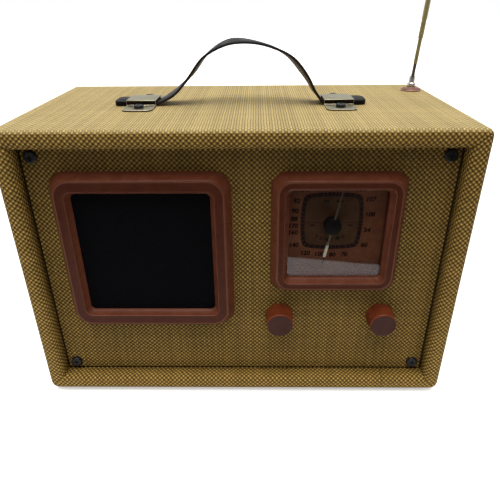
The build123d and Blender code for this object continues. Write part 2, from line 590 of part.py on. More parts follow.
# ---- carrying handle ----
with BuildPart() as handle_caps:
    for x in CAP_X:
        with BuildSketch(Plane.YZ.offset(x - CAP_SIZE[0] / 2)):
            with Locations((0, TOP)):
                Rectangle(CAP_SIZE[1], CAP_METAL, align=(Align.CENTER, Align.MIN))
                Rectangle(CAP_RAISED, CAP_HEIGHT, align=(Align.CENTER, Align.MIN))
                Rectangle(CAP_RAISED - 2 * CAP_METAL, CAP_HEIGHT - CAP_METAL,
                          align=(Align.CENTER, Align.MIN), mode=Mode.SUBTRACT)
        extrude(amount=CAP_SIZE[0])
    tips = handle_caps.edges().filter_by(Axis.Z).filter_by(
        lambda e: abs(abs(e.center().Y) - CAP_SIZE[1] / 2) < 0.1)
    fillet(tips, 4)
    crests = handle_caps.edges().filter_by(Axis.X).filter_by(
        lambda e: abs(e.center().Z - TOP - CAP_HEIGHT) < 0.1)
    fillet(crests, 0.8)
    with Locations(*cap_screw_places):
        Cylinder(1.5, 6, mode=Mode.SUBTRACT)
save(handle_caps.part, "handle_caps")
save(pan_screws(cap_screw_places, (0, 0, 1), 3.4, 2.0, SMALL_SCREW_R, 9), "cap_screws")

end_width = CAP_RAISED - 2 * CAP_METAL - 2 * FIT
tongue_low = TOP + FIT
for name, centre, side in (("strap_end_left", CAP_X[0], -1), ("strap_end_right", CAP_X[1], 1)):
    near, far = centre - side * (CAP_SIZE[0] / 2 - 0.6), centre + side * (CAP_SIZE[0] / 2 + FIT)
    tip = far + side * HEAD_LENGTH
    with BuildPart() as strap_end:
        low, high = sorted((near, far))
        add(block((low, -end_width / 2, tongue_low), (high, end_width / 2, tongue_low + STRAP_THICK)))
        low, high = sorted((far, tip))
        add(block((low, -end_width / 2, tongue_low), (high, end_width / 2, tongue_low + HEAD_THICK)))
        outer = strap_end.edges().filter_by(Axis.Z).filter_by(lambda e: abs(e.center().X - tip) < 0.1)
        fillet(outer, 4)
    save(strap_end.part, name)

# Middle line of the arched strap from cap to cap, as x and height over the cabinet top.
ARCH = [(CAP_X[0] + CAP_SIZE[0] / 2 + 0.2, 1.6), (-49, 8.2), (-36.5, 20), (-25.5, 33), (-11, 41.2),
        (3, 42.4), (20, 39), (34.5, 32), (45.5, 20), (53, 8.6), (CAP_X[1] - CAP_SIZE[0] / 2 - 0.2, 1.6)]
with BuildLine(upright(0)) as arch_line:
    Spline(*[(x, TOP + rise) for x, rise in ARCH], tangents=[(1, 0.12), (1, -0.12)])


def beside(share, offset):
    """Point beside the strap's middle line, offset to its upper side."""
    at = arch_line.line @ share
    run = arch_line.line % share
    return (at.X - run.Z * offset, at.Z + run.X * offset)


stations = [n / 24 for n in range(25)]
with BuildPart() as handle_strap:
    with BuildSketch(upright(STRAP_WIDTH / 2)):
        with BuildLine():
            upper = Spline(*[beside(share, STRAP_THICK / 2) for share in stations])
            lower = Spline(*[beside(share, -STRAP_THICK / 2) for share in stations])
            Line(upper @ 0, lower @ 0)
            Line(upper @ 1, lower @ 1)
        make_face()
    extrude(amount=STRAP_WIDTH)
save(handle_strap.part, "handle_strap")

# ---- telescopic aerial ----
aerial = Plane(origin=(*ANTENNA, TOP))
save(turned_on(aerial, [
    (2.0 + RUNNING, 0), (8, 0), (8, 0.8), (6.8, 1.9), (4.2, 2.4), (4.0, 3.0), (2.0 + RUNNING, 3.0)]),
    "antenna_base")

NECK = 2.0
with BuildPart() as antenna_swivel:
    add(turned_on(aerial, [
        (0, -18), (NECK, -18), (NECK, 3.2), (3.3, 3.2), (3.6, 4.2), (3.3, 5.6), (2.3, 6.4), (2.3, 11),
        (0, 11)]))
    with Locations((*ANTENNA, TOP + 9)):
        Box(8, 1.5, 4.8, mode=Mode.SUBTRACT)
    with BuildSketch(Plane.XZ.offset(-ANTENNA[1] - 2.2)):
        with Locations((ANTENNA[0], TOP + PIVOT_RISE)):
            Circle(0.7)
    extrude(amount=4.4)
save(antenna_swivel.part, "antenna_swivel")
save(turned_on(aerial, [
    (NECK, -16), (3.4, -16), (3.4, CEILING - TOP - 0.4), (NECK, CEILING - TOP - 0.4)]), "antenna_nut")

lean = radians(MAST_LEAN)
mast = Plane(origin=(*ANTENNA, TOP + PIVOT_RISE), x_dir=(cos(lean), 0, -sin(lean)),
             z_dir=(sin(lean), 0, cos(lean)))
LINK_TOP, TUBE_FOOT, SLEEVE_FOOT = 20.0, 11.8, 30.6
TUBE_R, TUBE_BORE = 1.5, 1.1
SLEEVE_TOP = MAST_LENGTH - 9
TUBE_TOP = SLEEVE_TOP - 7
with BuildPart() as antenna_link:
    add(turned_on(mast, [
        (0, 2.6), (1.25, 3.2), (1.25, TUBE_FOOT), (TUBE_BORE, TUBE_FOOT), (TUBE_BORE, LINK_TOP),
        (0, LINK_TOP)]))
    with BuildSketch(Plane(mast.origin + mast.y_dir * 0.6, x_dir=mast.x_dir, z_dir=-mast.y_dir)):
        Circle(1.7)
        with Locations((0, 2.2)):
            Rectangle(2.5, 4.4)
        Circle(0.7 + RUNNING, mode=Mode.SUBTRACT)
    extrude(amount=1.2)
save(antenna_link.part, "antenna_link")
save(turned_on(mast, [
    (TUBE_BORE, TUBE_FOOT), (TUBE_R, TUBE_FOOT), (TUBE_R, TUBE_TOP), (TUBE_BORE, TUBE_TOP)]),
    "antenna_tube")
save(turned_on(mast, [
    (TUBE_R + RUNNING, SLEEVE_FOOT), (1.9, SLEEVE_FOOT), (1.9, SLEEVE_TOP), (1.0 + RUNNING, SLEEVE_TOP),
    (1.0 + RUNNING, SLEEVE_TOP - 3), (TUBE_R + RUNNING, SLEEVE_TOP - 3)]), "antenna_sleeve")
save(turned_on(mast, [
    (0, LINK_TOP + 3), (1.0, LINK_TOP + 3), (1.0, SLEEVE_TOP + 0.3), (2.3, SLEEVE_TOP + 0.3),
    (2.8, SLEEVE_TOP + 1.2), (2.8, MAST_LENGTH - 1.6), (1.8, MAST_LENGTH), (0, MAST_LENGTH)]), "antenna_rod")
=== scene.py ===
"""Looks of a tweed-covered portable radio, built round its CAD frame.
Sizes in this file are millimetres, and MM turns them into Blender's metres. The frame's axes are the
CAD's: x to the radio's right, y to its back, z up."""
import json
import math

import bmesh
import bpy
from mathutils import Matrix, Vector

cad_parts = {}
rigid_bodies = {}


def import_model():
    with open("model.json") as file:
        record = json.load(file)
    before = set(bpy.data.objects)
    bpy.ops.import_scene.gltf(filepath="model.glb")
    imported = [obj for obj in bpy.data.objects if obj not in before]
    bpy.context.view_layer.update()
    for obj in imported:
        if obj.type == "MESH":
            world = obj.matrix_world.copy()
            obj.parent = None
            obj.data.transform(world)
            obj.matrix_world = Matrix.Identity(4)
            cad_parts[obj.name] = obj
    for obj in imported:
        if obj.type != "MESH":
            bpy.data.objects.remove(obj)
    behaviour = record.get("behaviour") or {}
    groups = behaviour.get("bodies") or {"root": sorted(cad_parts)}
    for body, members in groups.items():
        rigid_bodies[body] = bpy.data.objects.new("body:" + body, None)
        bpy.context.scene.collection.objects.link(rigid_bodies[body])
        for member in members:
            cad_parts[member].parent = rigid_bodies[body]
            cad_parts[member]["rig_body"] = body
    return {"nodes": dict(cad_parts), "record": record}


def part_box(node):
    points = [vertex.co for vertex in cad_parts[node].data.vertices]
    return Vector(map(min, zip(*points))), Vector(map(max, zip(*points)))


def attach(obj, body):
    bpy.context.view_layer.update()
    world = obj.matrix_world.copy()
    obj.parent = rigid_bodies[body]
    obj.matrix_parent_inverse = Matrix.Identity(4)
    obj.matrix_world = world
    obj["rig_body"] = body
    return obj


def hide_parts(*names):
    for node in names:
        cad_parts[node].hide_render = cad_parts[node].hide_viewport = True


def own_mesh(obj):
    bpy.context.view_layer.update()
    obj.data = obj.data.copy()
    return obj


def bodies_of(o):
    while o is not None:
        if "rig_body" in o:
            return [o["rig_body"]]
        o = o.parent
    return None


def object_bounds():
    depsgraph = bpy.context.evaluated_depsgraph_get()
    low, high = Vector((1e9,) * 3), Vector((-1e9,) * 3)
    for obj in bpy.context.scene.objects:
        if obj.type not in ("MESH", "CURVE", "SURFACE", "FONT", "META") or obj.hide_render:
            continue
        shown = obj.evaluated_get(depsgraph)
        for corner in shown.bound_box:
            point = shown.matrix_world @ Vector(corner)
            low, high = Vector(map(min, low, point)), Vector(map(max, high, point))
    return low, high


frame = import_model()
cad_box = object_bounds()
MM = 0.001
NODES = frame["nodes"]
SLOT_OF = {part["node"]: part["material_slot"] for part in frame["record"]["subparts"]}

# ---- measures of the case, taken from the frame ----
HALF_WIDTH = cad_box[1][0] / MM
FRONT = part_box("tweed_covering")[0].y / MM
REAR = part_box("tweed_covering")[1].y / MM
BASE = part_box("tweed_covering")[0].z / MM
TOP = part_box("tweed_covering")[1].z / MM
HALF_HEIGHT, MIDDLE = (TOP - BASE) / 2, (TOP + BASE) / 2
WALL = 12.0                # how wide the front lip is, seen from the front
# middles of the two openings, and the line that the pointer turns about, as (x, z)
SPEAKER, DIAL, DIAL_AXIS = (-65.5, 119.5), (64.75, 134.0), (62.4, 138.8)


def rgb(red, green, blue):
    """A colour given as it looks on a screen, 0 to 255, as the linear colour that a shader takes."""
    def linear(value):
        value /= 255
        return value / 12.92 if value <= 0.04045 else ((value + 0.055) / 1.055) ** 2.4
    return (linear(red), linear(green), linear(blue), 1.0)


# ---------------------------------------------------------------- materials
class Paint:
    """One Principled material. Textures are laid out in millimetres on the object itself."""

    def __init__(self, name, **sockets):
        self.material = bpy.data.materials.new(name)
        self.material.use_nodes = True
        self.nodes = self.material.node_tree.nodes
        self.links = self.material.node_tree.links
        self.surface = self.nodes["Principled BSDF"]
        for socket, value in sockets.items():
            self.surface.inputs[socket.replace("_", " ")].default_value = value

    def feed(self, socket, value):
        if isinstance(value, bpy.types.NodeSocket):
            self.links.new(value, socket)
        else:
            socket.default_value = value

    def add(self, kind, *values, out=0, **settings):
        node = self.nodes.new("ShaderNode" + kind)
        for key, value in settings.items():
            setattr(node, key, value)
        for socket, value in zip(node.inputs, values):
            if value is not None:
                self.feed(socket, value)
        return node.outputs[out]

    def math(self, operation, *values):
        return self.add("Math", *values, operation=operation)

    def mix(self, share, first, second, kind="MIX"):
        node = self.nodes.new("ShaderNodeMix")
        node.data_type, node.blend_type = "RGBA", kind
        for index, value in ((0, share), (6, first), (7, second)):
            self.feed(node.inputs[index], value)
        return node.outputs[2]

    def ramp(self, value, low, high, to_low=0.0, to_high=1.0):
        return self.add("MapRange", value, low, high, to_low, to_high, interpolation_type="SMOOTHSTEP")

    def place(self, stretch=(1, 1, 1)):
        here = self.add("TexCoord", out=3)
        return self.add("VectorMath", here, tuple(s / MM for s in stretch), operation="MULTIPLY")

    def split(self, vector):
        node = self.nodes.new("ShaderNodeSeparateXYZ")
        self.feed(node.inputs[0], vector)
        return node.outputs

    def join(self, x, y=0.0, z=0.0):
        return self.add("CombineXYZ", x, y, z)

    def noise(self, vector, size, detail=3.0, rough=0.55):
        node = self.nodes.new("ShaderNodeTexNoise")
        self.feed(node.inputs["Vector"], vector)
        for socket, value in (("Scale", 1 / size), ("Detail", detail), ("Roughness", rough)):
            node.inputs[socket].default_value = value
        return node.outputs[0]

    def chance(self, number):
        """A random value from 0 to 1 for each whole number."""
        node = self.nodes.new("ShaderNodeTexWhiteNoise")
        node.noise_dimensions = "1D"
        self.feed(node.inputs["W"], number)
        return node.outputs["Value"]

    def bump(self, height, deep, below=None):
        """Relief of that height in millimetres, over another relief."""
        node = self.nodes.new("ShaderNodeBump")
        node.inputs["Distance"].default_value = deep * MM
        self.feed(node.inputs["Height"], height)
        if below is not None:
            self.feed(node.inputs["Normal"], below)
        return node.outputs[0]

    def upward(self):
        """How far the surface faces up, from -1 to 1."""
        return self.split(self.add("NewGeometry", out=1))[2]

    def finish(self, colour=None, rough=None, normal=None):
        for socket, value in (("Base Color", colour), ("Roughness", rough), ("Normal", normal)):
            if value is not None:
                self.feed(self.surface.inputs[socket], value)
        return self.material


def plain(name, light, dark, grain, rough, relief, edge=None, **sockets):
    """Worked surface: two tones in soft patches, fine tooth, uneven gloss, and optional worn edges."""
    paint = Paint(name, **sockets)
    here = paint.place()
    patches = paint.noise(here, grain * 6)
    tooth = paint.noise(here, grain, 4, 0.65)
    share = paint.math("ADD", paint.math("MULTIPLY", patches, 0.65), paint.math("MULTIPLY", tooth, 0.35))
    colour = paint.mix(paint.ramp(share, 0.36, 0.64), dark, light)
    gloss = paint.ramp(paint.noise(here, grain * 3, 5), 0.3, 0.7, *rough)
    if edge is not None:
        wear_and_highlight = paint.add("Attribute", attribute_name="wear_and_highlight", out=2)
        wear_and_highlight = paint.math("MULTIPLY", wear_and_highlight, paint.ramp(patches, 0.3, 0.6, 0.45, 1.0))
        colour = paint.mix(wear_and_highlight, colour, edge)
    return paint.finish(colour, gloss, paint.bump(tooth, relief))


# ---- tweed ----
YARN = 1.70                # from one yarn to the next
WANDER = 1.1               # how far the yarns stray from straight
# the raised yarn, the net between and the sunk dot: as woven, and with painted light on the case's top,
# lighter and with the dots hidden
GOLD_FRONT, NET_FRONT, BROWN_FRONT = rgb(196, 163, 88), rgb(116, 89, 38), rgb(54, 35, 14)
GOLD_TOP_LIT, NET_TOP_LIT, BROWN_TOP_LIT = rgb(198, 178, 126), rgb(180, 158, 104), rgb(146, 122, 72)
# how much the shade varies: painted shade between the ribs of the lit top, then from warp to warp, from weft
# to weft, and with soil
RIB_SHADE, WARP_SHADE, WEFT_SHADE, SOIL_SHADE = 0.8, 0.18, 0.14, 0.26
GAP_SHADE = 2.0                  # value of seam in an open gap, where the gap's shade is painted on the cloth
TWEED_SHEEN = 0.12
LIP_SEAM_X = 107.7         # the butt seam in the bottom lip
LIP_DEPTH = 9.0            # how far behind the front the seams can be seen
# painted shade: the baffle's cloth is the case's cloth, darkened as it lies in the recess behind the lips
BAFFLE_PAINTED_SHADE = 0.76


def tweed(u, v, paint, painted_top_light, seam, painted_dimming=1.0):
    """Plain weave of gold yarns over brown ones. u and v run along the cloth in millimetres; the argument
    after paint is how much painted light a lit top gets: dots hidden, yarns lighter, painted shade between
    ribs; seam is
    1 on a joint and higher in an open gap, whose shade is painted; the last argument is painted shade over
    all."""
    flow = paint.join(u, v)
    wobble = paint.math("MULTIPLY", paint.math("SUBTRACT", paint.noise(flow, 9, 2), 0.5), WANDER)
    across = paint.math("DIVIDE", paint.math("ADD", u, wobble), YARN)
    along = paint.math("DIVIDE", paint.math("ADD", v, wobble), YARN)
    waves = [paint.math("SINE", paint.math("MULTIPLY", phase, math.pi)) for phase in (across, along)]
    crown = paint.math("MULTIPLY", *waves)
    column = paint.chance(paint.math("FLOOR", across))
    row = paint.chance(paint.math("FLOOR", along))
    fibre = paint.noise(paint.join(paint.math("MULTIPLY", u, 3.0), v), 0.5, 3, 0.7)
    thick = paint.math("ADD", crown, paint.math("MULTIPLY", paint.math("SUBTRACT", fibre, 0.5), 0.5))
    # painted light: on faces that look up, lighter yarns and net, and the brown dots mostly hidden
    gold_lit = paint.mix(painted_top_light, GOLD_FRONT, GOLD_TOP_LIT)
    net = paint.mix(painted_top_light, NET_FRONT, NET_TOP_LIT)
    dot = paint.mix(painted_top_light, BROWN_FRONT, BROWN_TOP_LIT)
    colour = paint.mix(paint.ramp(thick, -0.85, -0.35), dot, net)
    colour = paint.mix(paint.ramp(thick, 0.1, 0.75), colour, gold_lit)
    # painted shade between the yarn ribs, used only where the top's painted light is
    rib_painted_shade = paint.ramp(paint.math("ABSOLUTE", waves[0]), 0.0, 0.75)
    rib_painted_shade = paint.math("MULTIPLY", paint.math("SUBTRACT", rib_painted_shade, 0.8), paint.math("MULTIPLY", painted_top_light, RIB_SHADE))
    streak = paint.math("MULTIPLY", paint.math("SUBTRACT", column, 0.5), WARP_SHADE)
    streak = paint.math("ADD", streak, rib_painted_shade)
    weft = paint.math("MULTIPLY", paint.math("SUBTRACT", row, 0.5), WEFT_SHADE)
    soil = paint.math("MULTIPLY", paint.math("SUBTRACT", paint.noise(flow, 38, 4), 0.5), SOIL_SHADE)
    # the last argument darkens all the cloth: painted shade
    level = paint.math("ADD", paint.math("ADD", painted_dimming, streak), paint.math("ADD", weft, soil))
    # darker on a joint; darkest in an open gap, as painted shade
    level = paint.math("MULTIPLY", level, paint.ramp(seam, 0.0, GAP_SHADE, 1.0, 0.1))
    shade = paint.join(level, level, level)
    colour = paint.mix(1.0, colour, shade, "MULTIPLY")
    relief = paint.math("ADD", paint.math("ABSOLUTE", crown), paint.math("MULTIPLY", crown, 0.5))
    relief = paint.math("SUBTRACT", relief, seam)
    gloss = paint.ramp(crown, -1.0, 1.0, 0.78, 0.5)
    return paint.finish(colour, gloss, paint.bump(fibre, 0.06, paint.bump(relief, 0.3)))


def skin_tweed():
    """The case's cloth, on its own UV map, with mitred corners and a butt seam in the front lip."""
    paint = Paint("tweed_case", Specular_IOR_Level=TWEED_SHEEN)
    u, v = paint.split(paint.add("UVMap", uv_map="cloth"))[0:2]
    x, y, z = paint.split(paint.place())
    from_side = paint.math("SUBTRACT", HALF_WIDTH, paint.math("ABSOLUTE", x))
    from_edge = paint.math("SUBTRACT", HALF_HEIGHT, paint.math("ABSOLUTE", paint.math("SUBTRACT", z, MIDDLE)))
    mitre = paint.math("ABSOLUTE", paint.math("SUBTRACT", from_side, from_edge))
    butt = paint.math("ABSOLUTE", paint.math("SUBTRACT", x, LIP_SEAM_X))
    above = paint.math("GREATER_THAN", z, MIDDLE)
    butt = paint.math("ADD", butt, above)
    gap = paint.ramp(paint.math("MINIMUM", mitre, butt), 0.12, 0.5, 1.0, 0.0)
    in_front = paint.math("LESS_THAN", y, FRONT + LIP_DEPTH)
    seam = paint.math("MULTIPLY", gap, in_front)
    # share of the top's painted light: it rises as the cloth faces up, on the upper half only
    painted_top_light = paint.math("MULTIPLY", paint.ramp(paint.upward(), 0.45, 0.95), above)
    return tweed(u, v, paint, painted_top_light, seam)


def flat_tweed():
    """The baffle's cloth, stretched flat, darkened all over as painted shade of its recess, with painted
    shade in the gap that runs round its edges.
    """
    paint = Paint("tweed_baffle", Specular_IOR_Level=TWEED_SHEEN)
    x, y, z = paint.split(paint.place())
    low, high = (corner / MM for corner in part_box("baffle_covering"))
    from_middle = paint.math("ABSOLUTE", paint.math("SUBTRACT", z, MIDDLE))
    to_side = paint.math("SUBTRACT", high.x, paint.math("ABSOLUTE", x))
    to_end = paint.math("SUBTRACT", (high.z - low.z) / 2, from_middle)
    # painted shade of the open gap that runs round the baffle's edges
    gap = paint.ramp(paint.math("MINIMUM", to_side, to_end), 0.4, 1.5, GAP_SHADE, 0.0)
    return tweed(x, z, paint, 0.0, gap, BAFFLE_PAINTED_SHADE)


def black_weave():
    """Grille cloth: fine black weave with pale specks of dust."""
    thread_pitch = 0.55
    paint = Paint("grille_black", Specular_IOR_Level=0.05)
    here = paint.place()
    x, y, z = paint.split(here)
    waves = [paint.math("SINE", paint.math("MULTIPLY", axis, math.pi / thread_pitch)) for axis in (x, z)]
    thread = paint.math("MULTIPLY", *waves)
    dust = paint.ramp(paint.noise(here, 0.9, 2, 0.8), 0.66, 0.78)
    cloud = paint.noise(here, 26, 3)
    colour = paint.mix(paint.ramp(thread, -1.0, 1.0), rgb(3, 3, 5), rgb(11, 11, 14))
    dust = paint.math("MULTIPLY", dust, paint.ramp(cloud, 0.3, 0.7, 0.1, 0.45))
    colour = paint.mix(dust, colour, rgb(78, 76, 78))
    return paint.finish(colour, paint.ramp(thread, -1.0, 1.0, 0.95, 0.75), paint.bump(thread, 0.12))


def metal_cap():
    """Worn nickel plate: painted light on top and painted shade on the risers, with bright worn edges."""
    paint = Paint("cap_nickel", Metallic=1.0)
    here = paint.place()
    clouds = paint.noise(here, 7, 4)
    lines = paint.noise(paint.place((6, 0.5, 1)), 1.2, 3)
    # painted light and shade: faces that look up are lighter, the risers darker
    up = paint.ramp(paint.upward(), 0.2, 0.95)
    colour = paint.mix(up, rgb(40, 33, 26), rgb(158, 152, 124))
    colour = paint.mix(paint.ramp(clouds, 0.45, 0.75, 0.0, 0.35), colour, rgb(98, 98, 78))
    wear_and_highlight = paint.add("Attribute", attribute_name="wear_and_highlight", out=2)
    colour = paint.mix(paint.math("MULTIPLY", wear_and_highlight, 0.85), colour, rgb(240, 228, 196))
    gloss = paint.ramp(lines, 0.3, 0.7, 0.3, 0.46)
    return paint.finish(colour, gloss, paint.bump(lines, 0.03))


def strap_hide():
    """Black coated strap: fine grain on top, browner bare side beneath."""
    paint = Paint("strap_black", Specular_IOR_Level=0.13)
    here = paint.place()
    pebble = 0.9
    cells = paint.nodes.new("ShaderNodeTexVoronoi")
    cells.inputs["Scale"].default_value = 1 / pebble
    paint.feed(cells.inputs["Vector"], here)
    grain = cells.outputs["Distance"]
    patches = paint.noise(here, 6, 4)
    under = paint.add("Attribute", attribute_name="under", out=2)
    black = paint.mix(patches, rgb(5, 5, 6), rgb(14, 14, 16))
    brown = paint.mix(patches, rgb(34, 21, 16), rgb(60, 40, 31))
    colour = paint.mix(under, black, brown)
    wear_and_highlight = paint.add("Attribute", attribute_name="wear_and_highlight", out=2)
    colour = paint.mix(paint.math("MULTIPLY", wear_and_highlight, 0.6), colour, rgb(36, 31, 30))
    gloss = paint.ramp(patches, 0.3, 0.7, 0.4, 0.58)
    return paint.finish(colour, gloss, paint.bump(grain, 0.08))


def clear_window():
    """Lightly smoked clear sheet: a faint mirror that lets most light through."""
    paint = Paint("window_clear", Metallic=1.0, Alpha=0.2)
    here = paint.place()
    haze = paint.noise(here, 14, 4)
    colour = paint.mix(haze, rgb(114, 115, 117), rgb(121, 122, 123))
    return paint.finish(colour, paint.ramp(haze, 0.3, 0.7, 0.01, 0.03), paint.bump(haze, 0.004))


def pointer_metal():
    """Dull brass: below the axis a pale blade, with its tip painted dark."""
    blade_from, blade_to, tip_from, tip_to = 13.5, 15.0, 23.2, 24.0
    paint = Paint("pointer_brass", Metallic=0.3)
    x, y, z = paint.split(paint.place())
    outward = [paint.math("SUBTRACT", at, axis) for at, axis in zip((x, z), DIAL_AXIS)]
    reach = paint.math("SQRT", paint.math("ADD", *(paint.math("MULTIPLY", out, out) for out in outward)))
    below = paint.math("LESS_THAN", outward[1], 0.0)
    tip = paint.math("MULTIPLY", paint.ramp(reach, tip_from, tip_to), below)
    blade = paint.math("MULTIPLY", paint.ramp(reach, blade_from, blade_to), below)
    patches = paint.noise(paint.place(), 5, 3)
    colour = paint.mix(patches, rgb(104, 95, 75), rgb(131, 122, 99))
    colour = paint.mix(blade, colour, rgb(246, 238, 208))
    colour = paint.mix(tip, colour, rgb(34, 22, 18))
    return paint.finish(colour, paint.ramp(patches, 0.3, 0.7, 0.25, 0.4), paint.bump(patches, 0.01))


def moulding(name, side, front, rim):
    """Moulded plastic, each part in two close tones: painted light on the sides, a darker front face, and the
    marked rims lighter, on the bezels as painted highlight lines.
    """
    paint = Paint(name, Specular_IOR_Level=0.13)
    here = paint.place()
    patches, tooth = paint.noise(here, 7), paint.noise(here, 1.2, 4, 0.65)
    forward = paint.math("MULTIPLY", paint.split(paint.add("NewGeometry", out=1))[1], -1.0)
    # painted light: faces turned away from the front get the lighter side colours
    facing = paint.ramp(forward, 0.85, 0.99)
    share = paint.ramp(patches, 0.3, 0.7)
    colour = paint.mix(facing, *(paint.mix(share, *pair) for pair in (side, front)))
    # the marked rims get the rim colour: on the bezels, painted highlight lines
    wear_and_highlight = paint.add("Attribute", attribute_name="wear_and_highlight", out=2)
    colour = paint.mix(paint.math("MULTIPLY", wear_and_highlight, 0.6), colour, rim)
    gloss = paint.math("ADD", paint.ramp(tooth, 0.3, 0.7, 0.26, 0.36), paint.math("MULTIPLY", facing, 0.1))
    return paint.finish(colour, gloss, paint.bump(tooth, 0.006))


def wood(name, light, dark):
    """Plywood: long figure along x and thin rays."""
    paint = Paint(name)
    figure = paint.noise(paint.place((0.12, 1, 1)), 3.2, 5, 0.6)
    rays = paint.noise(paint.place((0.05, 2.5, 2.5)), 1.1, 2)
    colour = paint.mix(paint.ramp(figure, 0.3, 0.7), dark, light)
    colour = paint.mix(paint.ramp(rays, 0.62, 0.72, 0.0, 0.4), colour, dark)
    return paint.finish(colour, paint.ramp(figure, 0.2, 0.8, 0.6, 0.8), paint.bump(rays, 0.08))


# slot: light tone, dark tone, grain in mm, roughness, relief in mm, then the worn edge and sockets
FINISHES = {
    "hardboard": (rgb(58, 46, 36), rgb(40, 31, 25), 1.4, (0.62, 0.8), 0.08, {}),
    "dial_metal": (rgb(154, 97, 68), rgb(128, 76, 50), 5.0, (0.42, 0.6), 0.02, {"Specular_IOR_Level": 0.2}),
    "black_plastic": (rgb(17, 22, 22), rgb(9, 12, 12), 1.0, (0.35, 0.5), 0.02, {"Specular_IOR_Level": 0.2}),
    "nylon": (rgb(222, 214, 190), rgb(200, 190, 160), 1.5, (0.4, 0.55), 0.03, {}),
    "cord": (rgb(150, 128, 84), rgb(110, 90, 56), 0.3, (0.8, 0.9), 0.05, {}),
    "zinc_steel": (rgb(196, 196, 190), rgb(160, 160, 152), 3.0, (0.3, 0.45), 0.02, {"Metallic": 1.0}),
    "grey_steel": (rgb(128, 130, 134), rgb(98, 100, 104), 2.0, (0.4, 0.55), 0.03, {"Metallic": 0.9}),
    "ferrite": (rgb(52, 50, 50), rgb(34, 33, 34), 0.8, (0.6, 0.75), 0.05, {}),
    "copper_wire": (rgb(206, 122, 70), rgb(160, 84, 44), 0.4, (0.3, 0.45), 0.05, {"Metallic": 0.9}),
    "circuit_board": (rgb(150, 118, 66), rgb(122, 92, 48), 1.2, (0.4, 0.55), 0.03, {}),
    "aluminium_can": (rgb(206, 208, 210), rgb(170, 172, 176), 1.6, (0.3, 0.42), 0.02, {"Metallic": 1.0}),
    "paper_cone": (rgb(40, 38, 38), rgb(24, 23, 24), 0.7, (0.85, 0.95), 0.1, {}),
    "cell_jacket": (rgb(70, 82, 120), rgb(48, 56, 92), 2.0, (0.3, 0.4), 0.01, {}),
    "black_steel": (rgb(26, 26, 28), rgb(12, 12, 14), 0.8, (0.32, 0.5), 0.02,
                    {"edge": rgb(96, 95, 92), "Metallic": 0.3}),
    "rubber": (rgb(38, 36, 36), rgb(24, 23, 23), 0.9, (0.7, 0.85), 0.06, {}),
    "antenna_base": (rgb(136, 92, 74), rgb(104, 66, 52), 1.0, (0.36, 0.5), 0.02,
                     {"edge": rgb(170, 132, 112), "Metallic": 0.2}),
    "chrome": (rgb(226, 224, 216), rgb(196, 192, 182), 1.4, (0.08, 0.16), 0.005, {"Metallic": 1.0}),
    "dark_link": (rgb(92, 76, 60), rgb(58, 46, 38), 0.8, (0.3, 0.42), 0.02, {"Metallic": 0.4}),
    "antenna_brass": (rgb(164, 154, 108), rgb(144, 133, 88), 1.6, (0.45, 0.6), 0.01, {"Metallic": 0.3}),
}
MATERIAL = {
    "tweed": skin_tweed(),
    "baffle_tweed": flat_tweed(),
    "black_cloth": black_weave(),
    "window": clear_window(),
    "cap_nickel": metal_cap(),
    "strap_leather": strap_hide(),
    "pointer_brass": pointer_metal(),
    # side: painted light on the sides; front: the front face; rim: the marked rims, on the bezel painted
    # highlight lines
    "knob_plastic": moulding("knob_plastic", side=(rgb(92, 40, 20), rgb(110, 51, 27)),
                             front=(rgb(60, 32, 24), rgb(68, 38, 29)), rim=rgb(134, 80, 58)),
    "bezel_plastic": moulding("bezel_plastic", side=(rgb(92, 48, 31), rgb(104, 57, 39)),
                              front=(rgb(66, 29, 15), rgb(74, 34, 18)), rim=rgb(122, 74, 56)),
    "plywood": wood("plywood", rgb(198, 160, 112), rgb(160, 120, 78)),
}
for slot_name, (light, dark, grain, rough, relief, options) in FINISHES.items():
    MATERIAL[slot_name] = plain(slot_name, light, dark, grain, rough, relief, **options)


# ---------------------------------------------------------------- pieces
def body_of(node):
    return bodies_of(NODES[node])[0]


def piece(name, mesh, node=None, body=None, material=None):
    """A finished piece: its object, body and material. One that stands for a node takes its slot too."""
    thing = bpy.data.objects.new(name, mesh)
    bpy.context.scene.collection.objects.link(thing)
    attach(thing, body or body_of(node))
    if node:
        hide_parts(node)
    mesh.materials.clear()
    mesh.materials.append(material or MATERIAL[SLOT_OF[node]])
    return thing


def smooth(mesh, sharp=None):
    for face in mesh.polygons:
        face.use_smooth = True
    if sharp is not None:
        mesh.set_sharp_from_angle(angle=math.radians(sharp))
    mesh.update()


def mesh_from(name, points, faces, uvs=None, marks=None, sharp=None):
    """Mesh from points in millimetres. uvs has one pair per face corner, marks one named value per point."""
    mesh = bpy.data.meshes.new(name)
    mesh.from_pydata([tuple(c * MM for c in p) for p in points], [], faces)
    if uvs:
        layer = mesh.uv_layers.new(name="cloth")
        layer.data.foreach_set("uv", [c for pair in uvs for c in pair])
    for key, values in (marks or {}).items():
        attribute = mesh.attributes.new(key, "FLOAT", "POINT")
        attribute.data.foreach_set("value", values)
    smooth(mesh, sharp)
    return mesh


def arc(middle, radius, start, end, steps):
    """Points on an arc, angles in degrees."""
    angles = [math.radians(start + (end - start) * n / steps) for n in range(steps + 1)]
    return [(middle[0] + radius * math.cos(a), middle[1] + radius * math.sin(a)) for a in angles]


HOLD = 0.6      # support line beside an arc, which keeps the flat beside it flat


